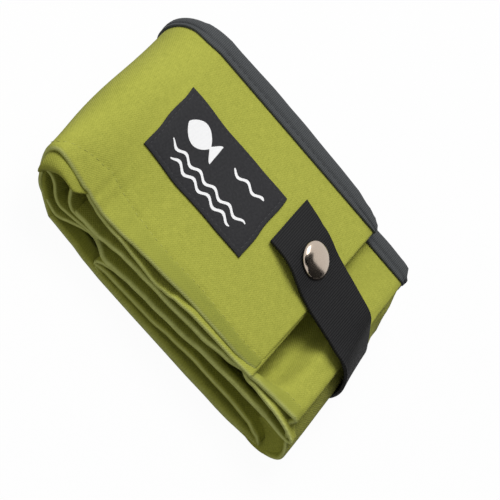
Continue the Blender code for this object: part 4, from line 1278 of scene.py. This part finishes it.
def label_point(u, v, lift):
    """A point of the label, u along it and v down it, each from 0 to 1."""
    a, b, c, d = (Vector(corner) for corner in LABEL_CORNERS)
    flat = a.lerp(b, u).lerp(c.lerp(d, u), v)
    x = flat.x + LONG_WAVER * noise.noise(Vector((v * 3, 0.3, 0.0))) * (abs(u - 0.5) * 2) ** 4
    y = flat.y + SHORT_WAVER * noise.noise(Vector((u * 4, 0.7, 0.0))) * (abs(v - 0.5) * 2) ** 4
    inset = min(min(u, 1 - u) * LABEL_LENGTH, min(v, 1 - v) * LABEL_WIDTH)
    groove = SEAM_DEPTH * math.exp(-((inset - SEAM_INSET) / SEAM_WIDTH) ** 2)
    return (x, y, on_flap(x, y) + SKIN + lift + LABEL_CROWN * ease(inset / CROWN_REACH) - groove)


EDGE_SHARES = [0.0, 0.006, 0.014, 0.022, 0.030, 0.040, 0.055, 0.08]
label_shares = EDGE_SHARES + spaced(0.11, 0.89, 22) + [1 - share for share in reversed(EDGE_SHARES)]
label_rows = [[label_point(u, v, LABEL_LIFT) for v in label_shares] for u in label_shares]
label = grid("label_cloth_patch", label_rows, label_cloth, LABEL_THICK)
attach(label, "top_flap")
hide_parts("label_patch")

SEAM_CORNERS = ((0.03, 0.045), (0.97, 0.045), (0.97, 0.955), (0.03, 0.955), (0.03, 0.045))
seam = []
for (u0, v0), (u1, v1) in zip(SEAM_CORNERS, SEAM_CORNERS[1:]):
    seam += [label_point(mix(u0, u1, s), mix(v0, v1, s), LABEL_THREAD_LIFT) for s in spaced(0, 1, 20)]
label_stitches = stitches("label_stitches", seam, dark_thread, length=0.0018, gap=0.0007, thick=0.00016)
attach(label_stitches, "top_flap")
tell_flat(label)

# %% [markdown]
# The print is ink on the label, so each shape is a thin sheet a hair above it. A wave is a ribbon
# that narrows towards both its ends, and the fish is a filled outline.

# %% Print on the label
INK = 0.00006
# The length of one wave, in the label's length, and where the fish's body ends and its tail starts
WAVE_SHARE = 0.15
BODY_SHARE, TAIL_SHARE = 0.78, 0.70


def printed(name, strips):
    """Flat white shapes on the label, each a list of (u, v) pairs across a ribbon."""
    points, faces, places = [], [], []
    for strip in strips:
        faces += faces_between(len(strip), 2, start=len(points))
        for pair in strip:
            for u, v in pair:
                points.append(Vector(label_point(u, v, PRINT_LIFT)) + MODEL_OFFSET)
                places.append((u * LABEL_LENGTH, v * LABEL_WIDTH))
    made = put_in_scene(name, points, [(a, d, c, b) for a, b, c, d in faces], print_ink, places)
    skin = made.modifiers.new("ink", "SOLIDIFY")
    skin.thickness = INK
    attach(made, "top_flap")


def wave_ribbon(v_middle, start, end, tall=0.030, wide=0.040):
    """A wave from start to end, all in shares of the label. It narrows towards both its ends."""
    strip = []
    for share in spaced(0.0, 1.0, 90):
        u = mix(start, end, share)
        v = v_middle + tall * math.sin(2 * math.pi * u / WAVE_SHARE)
        near_end = min(share, 1 - share)
        full = 0.35 + 0.65 * math.sin(math.pi * near_end * 6) if near_end < 1 / 12 else 1
        strip.append(((u, v - wide / 2 * full), (u, v + wide / 2 * full)))
    return strip


def fish(u_nose, v_middle, length=0.30, tall=0.17):
    """A round body and a tail, both given by their half height at a share of the fish's length."""
    strip = []
    for share in spaced(0.0, 1.0, 40):
        body = tall * math.sin(math.pi * share / BODY_SHARE) ** 0.7 if share < BODY_SHARE else 0.0
        tail = 0.15 * ease((share - TAIL_SHARE) / (1 - TAIL_SHARE))
        half = max(body, tail, 0.012 if 0.0 < share < 1.0 else 0.004)
        u = u_nose + length * share
        strip.append(((u, v_middle - half), (u, v_middle + half)))
    return strip


WAVES = ((0.70, 0.12, 0.88), (0.83, 0.195, 0.805), (0.30, 0.58, 0.88))
printed("printed_fish", [fish(u_nose=0.13, v_middle=0.36)])
printed("printed_waves", [wave_ribbon(*wave) for wave in WAVES])
print("printed: a fish and", len(WAVES), "waves")

# %% [markdown]
# ## The strap
# The webbing is sewn to the end of the bundle, comes up over the crease and lies across the flap at
# a slant. It is one length, so it is one mesh over its bend; the sewn foot is another.

# %% Strap
STRAP_SLANT = math.tan(math.radians(-9.0))
STRAP_LINE = (
    (2.0, 34.3), (6.0, 35.6), (10.5, 36.8), (15.0, 37.1), (19.2, 36.3), (24.0, 35.0), (30, 34.5),
    (36, 34.5), (42, 34.4), (48.0, 34.0), (52.4, 33.0), (55.4, 30.0), (58.2, 26.0), (61.0, 21.0),
    (63.2, 15.8), (64.1, 11.0), (63.9, 8.0),
)
FOOT_LINE = ((64.1, 10.4), (63.9, 7.8), (63.1, 5.0), (61.8, 2.8), (59.6, 1.2))
# Where the two edges lie along the flap
STRAP_NEAR = ((2.6, -2.9), (7.7, -4.2), (19.0, -8.0), (31.5, -10.8), (43.9, -12.9), (53.5, -15.0))
STRAP_FAR = ((1.9, 24.0), (12.5, 19.2), (24.5, 16.9), (31.5, 15.4), (41.6, 13.0), (53.5, 10.4))
COLUMN_SHARES = (0.0, 0.012, 0.035, 0.09, 0.2, 0.35, 0.5, 0.65, 0.8, 0.91, 0.965, 0.988, 1.0)
STRAP_THICK, FOOT_THICK = 0.0014, 0.0013
STRAP_SAG, STRAP_TILT = 0.0005, 0.0016


def strap_rows(line, count, run=0.0):
    """Rows across the strap. Past the crease, the run down the end shifts it along Y."""
    rows, before = [], None
    for share in spaced(0.0, 1.0, count):
        x, z = metres(through(line, share))
        if before and x > CREASE_X:
            run += math.dist((x, z), before)
        before = (x, z)
        near, far = (table(edge, x, eased=False) - run * STRAP_SLANT for edge in (STRAP_NEAR, STRAP_FAR))
        middle, half = (near + far) / 2, (far - near) / 2
        row = []
        for part in COLUMN_SHARES:
            y = middle + half * (2 * part - 1)
            tilt = STRAP_TILT * (y - middle) / half * ease((z - 0.004) / 0.02) * ease((x - 0.047) / 0.01)
            sag = STRAP_SAG * noise.noise(Vector((x * 45, y * 45, z * 45)))
            row.append((x - tilt, y, z + sag - tilt))
        rows.append(row)
    return rows


strap = grid("strap_webbing", strap_rows(STRAP_LINE, 110), webbing, STRAP_THICK)
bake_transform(strap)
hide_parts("strap_riser", "strap_tongue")
# The foot starts this far down the strap's run past the crease
FOOT_RUN = 0.0252
foot = grid("strap_foot_webbing", strap_rows(FOOT_LINE, 24, FOOT_RUN), webbing, FOOT_THICK)
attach(foot, "lower_bundle")
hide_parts("strap_tail")
tell_flat(strap, foot)

# %% [markdown]
# ## The press fastener
# The cap is pressed from thin nickel-plated brass: a low dome whose edge is rolled under. A turned
# profile with many sides gives it a clean highlight. Socket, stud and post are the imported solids.

# %% Cap of the press fastener
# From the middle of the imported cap's foot, the dressed one lies this far towards the base edge and up
CAP_SHIFT = 0.0016
cap_low, cap_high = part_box("snap_cap")
cap_centre = Vector((
    (cap_low[0] + cap_high[0]) / 2,
    (cap_low[1] + cap_high[1]) / 2 - CAP_SHIFT,
    cap_low[2] + CAP_SHIFT,
))
CAP_TILT = Vector((0.0, 0.0, 1.0)).rotation_difference(Vector((0.365, 0.04, 0.93)))
CAP_RADIUS, CAP_RISE, CAP_POWER = 0.00762, 0.0028, 0.84
CAP_SIDES = 96
# The dome's profile as (radius, height), then its rolled edge and the hollow under it
CAP = []
for turn in (0, 6, 12, 18, 24, 30, 36, 42, 48, 53, 58, 63, 67, 71, 75, 79, 83, 87):
    angle = math.radians(turn)
    CAP.append((CAP_RADIUS * math.sin(angle) ** CAP_POWER, CAP_RISE * math.cos(angle) ** CAP_POWER))
CAP += [
    (CAP_RADIUS, -0.00006), (0.0075, -0.00022), (0.0072, -0.0003), (0.0066, -0.0002), (0.0013, -0.0001),
    (0.0013, -0.0016), (0.0, -0.0016),
]
spokes = [2 * math.pi * side / CAP_SIDES for side in range(CAP_SIDES)]
points = [Vector((0.0, 0.0, CAP[0][1]))]
for radius, height in CAP[1:-1]:
    points += [Vector((radius * math.cos(angle), radius * math.sin(angle), height)) for angle in spokes]
points.append(Vector((0.0, 0.0, CAP[-1][1])))
points = [cap_centre + CAP_TILT @ point for point in points]
last = len(points) - 1
faces = faces_between(len(CAP) - 2, CAP_SIDES, closed=True, start=1)
for side in range(CAP_SIDES):
    after = (side + 1) % CAP_SIDES
    faces.append((0, 1 + side, 1 + after))
    faces.append((last, last - CAP_SIDES + after, last - CAP_SIDES + side))
cap = put_in_scene("fastener_cap", points, faces, nickel)
cap.data.shade_smooth()
cap.data.set_sharp_from_angle(angle=math.radians(60))
print("cap across, in mm:", round(CAP_RADIUS * 2000, 1))
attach(cap, "strap_tongue")
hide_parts("snap_cap")
for name in ("snap_socket", "snap_stud", "snap_post"):
    for slot_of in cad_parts[name].material_slots:
        slot_of.material = nickel.material


# %% [markdown]
# ## A light, a floor and the white behind it
# The studio is a large soft light above and to one side with a white room around. A black card
# stands past the open end, so that the end falls into shade and the metal gets a dark side. A black
# sheet overhead is seen only in reflections, where it gives the metal its dark band. The floor is
# nearly pure white where the camera looks, and keeps a faint shadow.

# %% Light and white room
LIGHT_PLACE, LIGHT_SIZE, LIGHT_POWER = Vector((-0.44, 0.36, 1.15)), 0.7, 13.8
# The room's white as the camera and the metal see it, and as it lights the cloth
ROOM_SEEN, ROOM_LIGHT = 1.0, 0.43
WHITE = (1.0, 1.0, 1.0, 1.0)

key_light = bpy.data.objects.new("key_light", bpy.data.lights.new("key_light", "AREA"))
key_light.data.size = LIGHT_SIZE
key_light.data.energy = LIGHT_POWER
key_light.location = LIGHT_PLACE
key_light.rotation_euler = (-LIGHT_PLACE).to_track_quat("-Z", "Y").to_euler()
bpy.context.scene.collection.objects.link(key_light)

world = bpy.data.worlds.new("white_room")
world.use_nodes = True
bpy.context.scene.world = world
links = world.node_tree.links
background = world.node_tree.nodes["Background"]
ray = world.node_tree.nodes.new("ShaderNodeLightPath")
seen = world.node_tree.nodes.new("ShaderNodeMix")
seen.inputs[2].default_value = ROOM_LIGHT
seen.inputs[3].default_value = ROOM_SEEN
any_view = world.node_tree.nodes.new("ShaderNodeMath")
any_view.use_clamp = True
links.new(ray.outputs["Is Camera Ray"], any_view.inputs[0])
links.new(ray.outputs["Is Glossy Ray"], any_view.inputs[1])
links.new(any_view.outputs[0], seen.inputs[0])
links.new(seen.outputs[0], background.inputs["Strength"])
background.inputs["Color"].default_value = WHITE
print("light at", [round(v, 2) for v in LIGHT_PLACE])

# %% Card, sheet overhead and floor
CARD_X, CARD_NEAR_Y, CARD_FAR_Y, CARD_HEIGHT = 0.42, -0.60, 0.31, 1.0
SHADE_HEIGHT = 0.95
SHADE_CORNERS = ((-1.3, -0.6), (1.35, -0.6), (1.35, 0.30), (-1.3, 0.30))
FLOOR_REACH, FLOOR_GAP = 3, 0.0003
FLOOR_GLOW, FLOOR_GLOW_SHARE = 1.07, 0.9
ONE_FACE = [(0, 1, 2, 3)]

black = Finish("black_card", 0.9)
black.shader.inputs["Base Color"].default_value = (0.01, 0.01, 0.01, 1.0)
card_corners = [
    (CARD_X, CARD_NEAR_Y, 0), (CARD_X, CARD_FAR_Y, 0), (CARD_X, CARD_FAR_Y, CARD_HEIGHT),
    (CARD_X, CARD_NEAR_Y, CARD_HEIGHT),
]
card = put_in_scene("card", card_corners, ONE_FACE, black)
card.visible_camera = False
card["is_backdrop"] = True

# The way from the bundle to the sheet, then the two ways that its sides run
over = Vector((-0.02, -0.27, 0.96)).normalized()
width_way = over.cross(Vector((0.66, 0.70, 0.26)).normalized()).normalized()
length_way = width_way.cross(over)
shade_corners = [SHADE_HEIGHT * over + a * length_way + b * width_way for a, b in SHADE_CORNERS]
shade = put_in_scene("shade", shade_corners, ONE_FACE, black)
shade.visible_camera = shade.visible_diffuse = shade.visible_shadow = shade.visible_transmission = False
shade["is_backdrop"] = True

white = Finish("white_floor", 0.9)
white.shader.inputs["Base Color"].default_value = (0.25, 0.25, 0.25, 1.0)
glow = white.node("ShaderNodeEmission", {}, {"Color": WHITE, "Strength": FLOOR_GLOW})
ray = white.node("ShaderNodeLightPath", {}, {})
in_view = (ray.out("Is Camera Ray") + ray.out("Is Glossy Ray")) * FLOOR_GLOW_SHARE
lit = Value(white, white.shader.outputs[0])
surface = white.node("ShaderNodeMixShader", {}, {0: in_view, 1: lit, 2: glow})
white.tree.links.new(surface.socket, white.tree.nodes["Material Output"].inputs["Surface"])
floor_corners = [(x * FLOOR_REACH, y * FLOOR_REACH, 0) for x, y in ((-1, -1), (1, -1), (1, 1), (-1, 1))]
floor = put_in_scene("floor", floor_corners, ONE_FACE, white)
floor.location.z = -FLOOR_GAP
floor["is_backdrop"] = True
print("studio pieces:", card.name, shade.name, floor.name)

# %% Sizes and the view transform
bpy.context.scene.view_settings.view_transform = "Standard"
sizes = {"cad": [list(corner) for corner in cad_box], "scene": [list(corner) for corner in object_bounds()]}
print("size in mm:", [round((high - low) * 1000, 1) for low, high in zip(*sizes["scene"])])
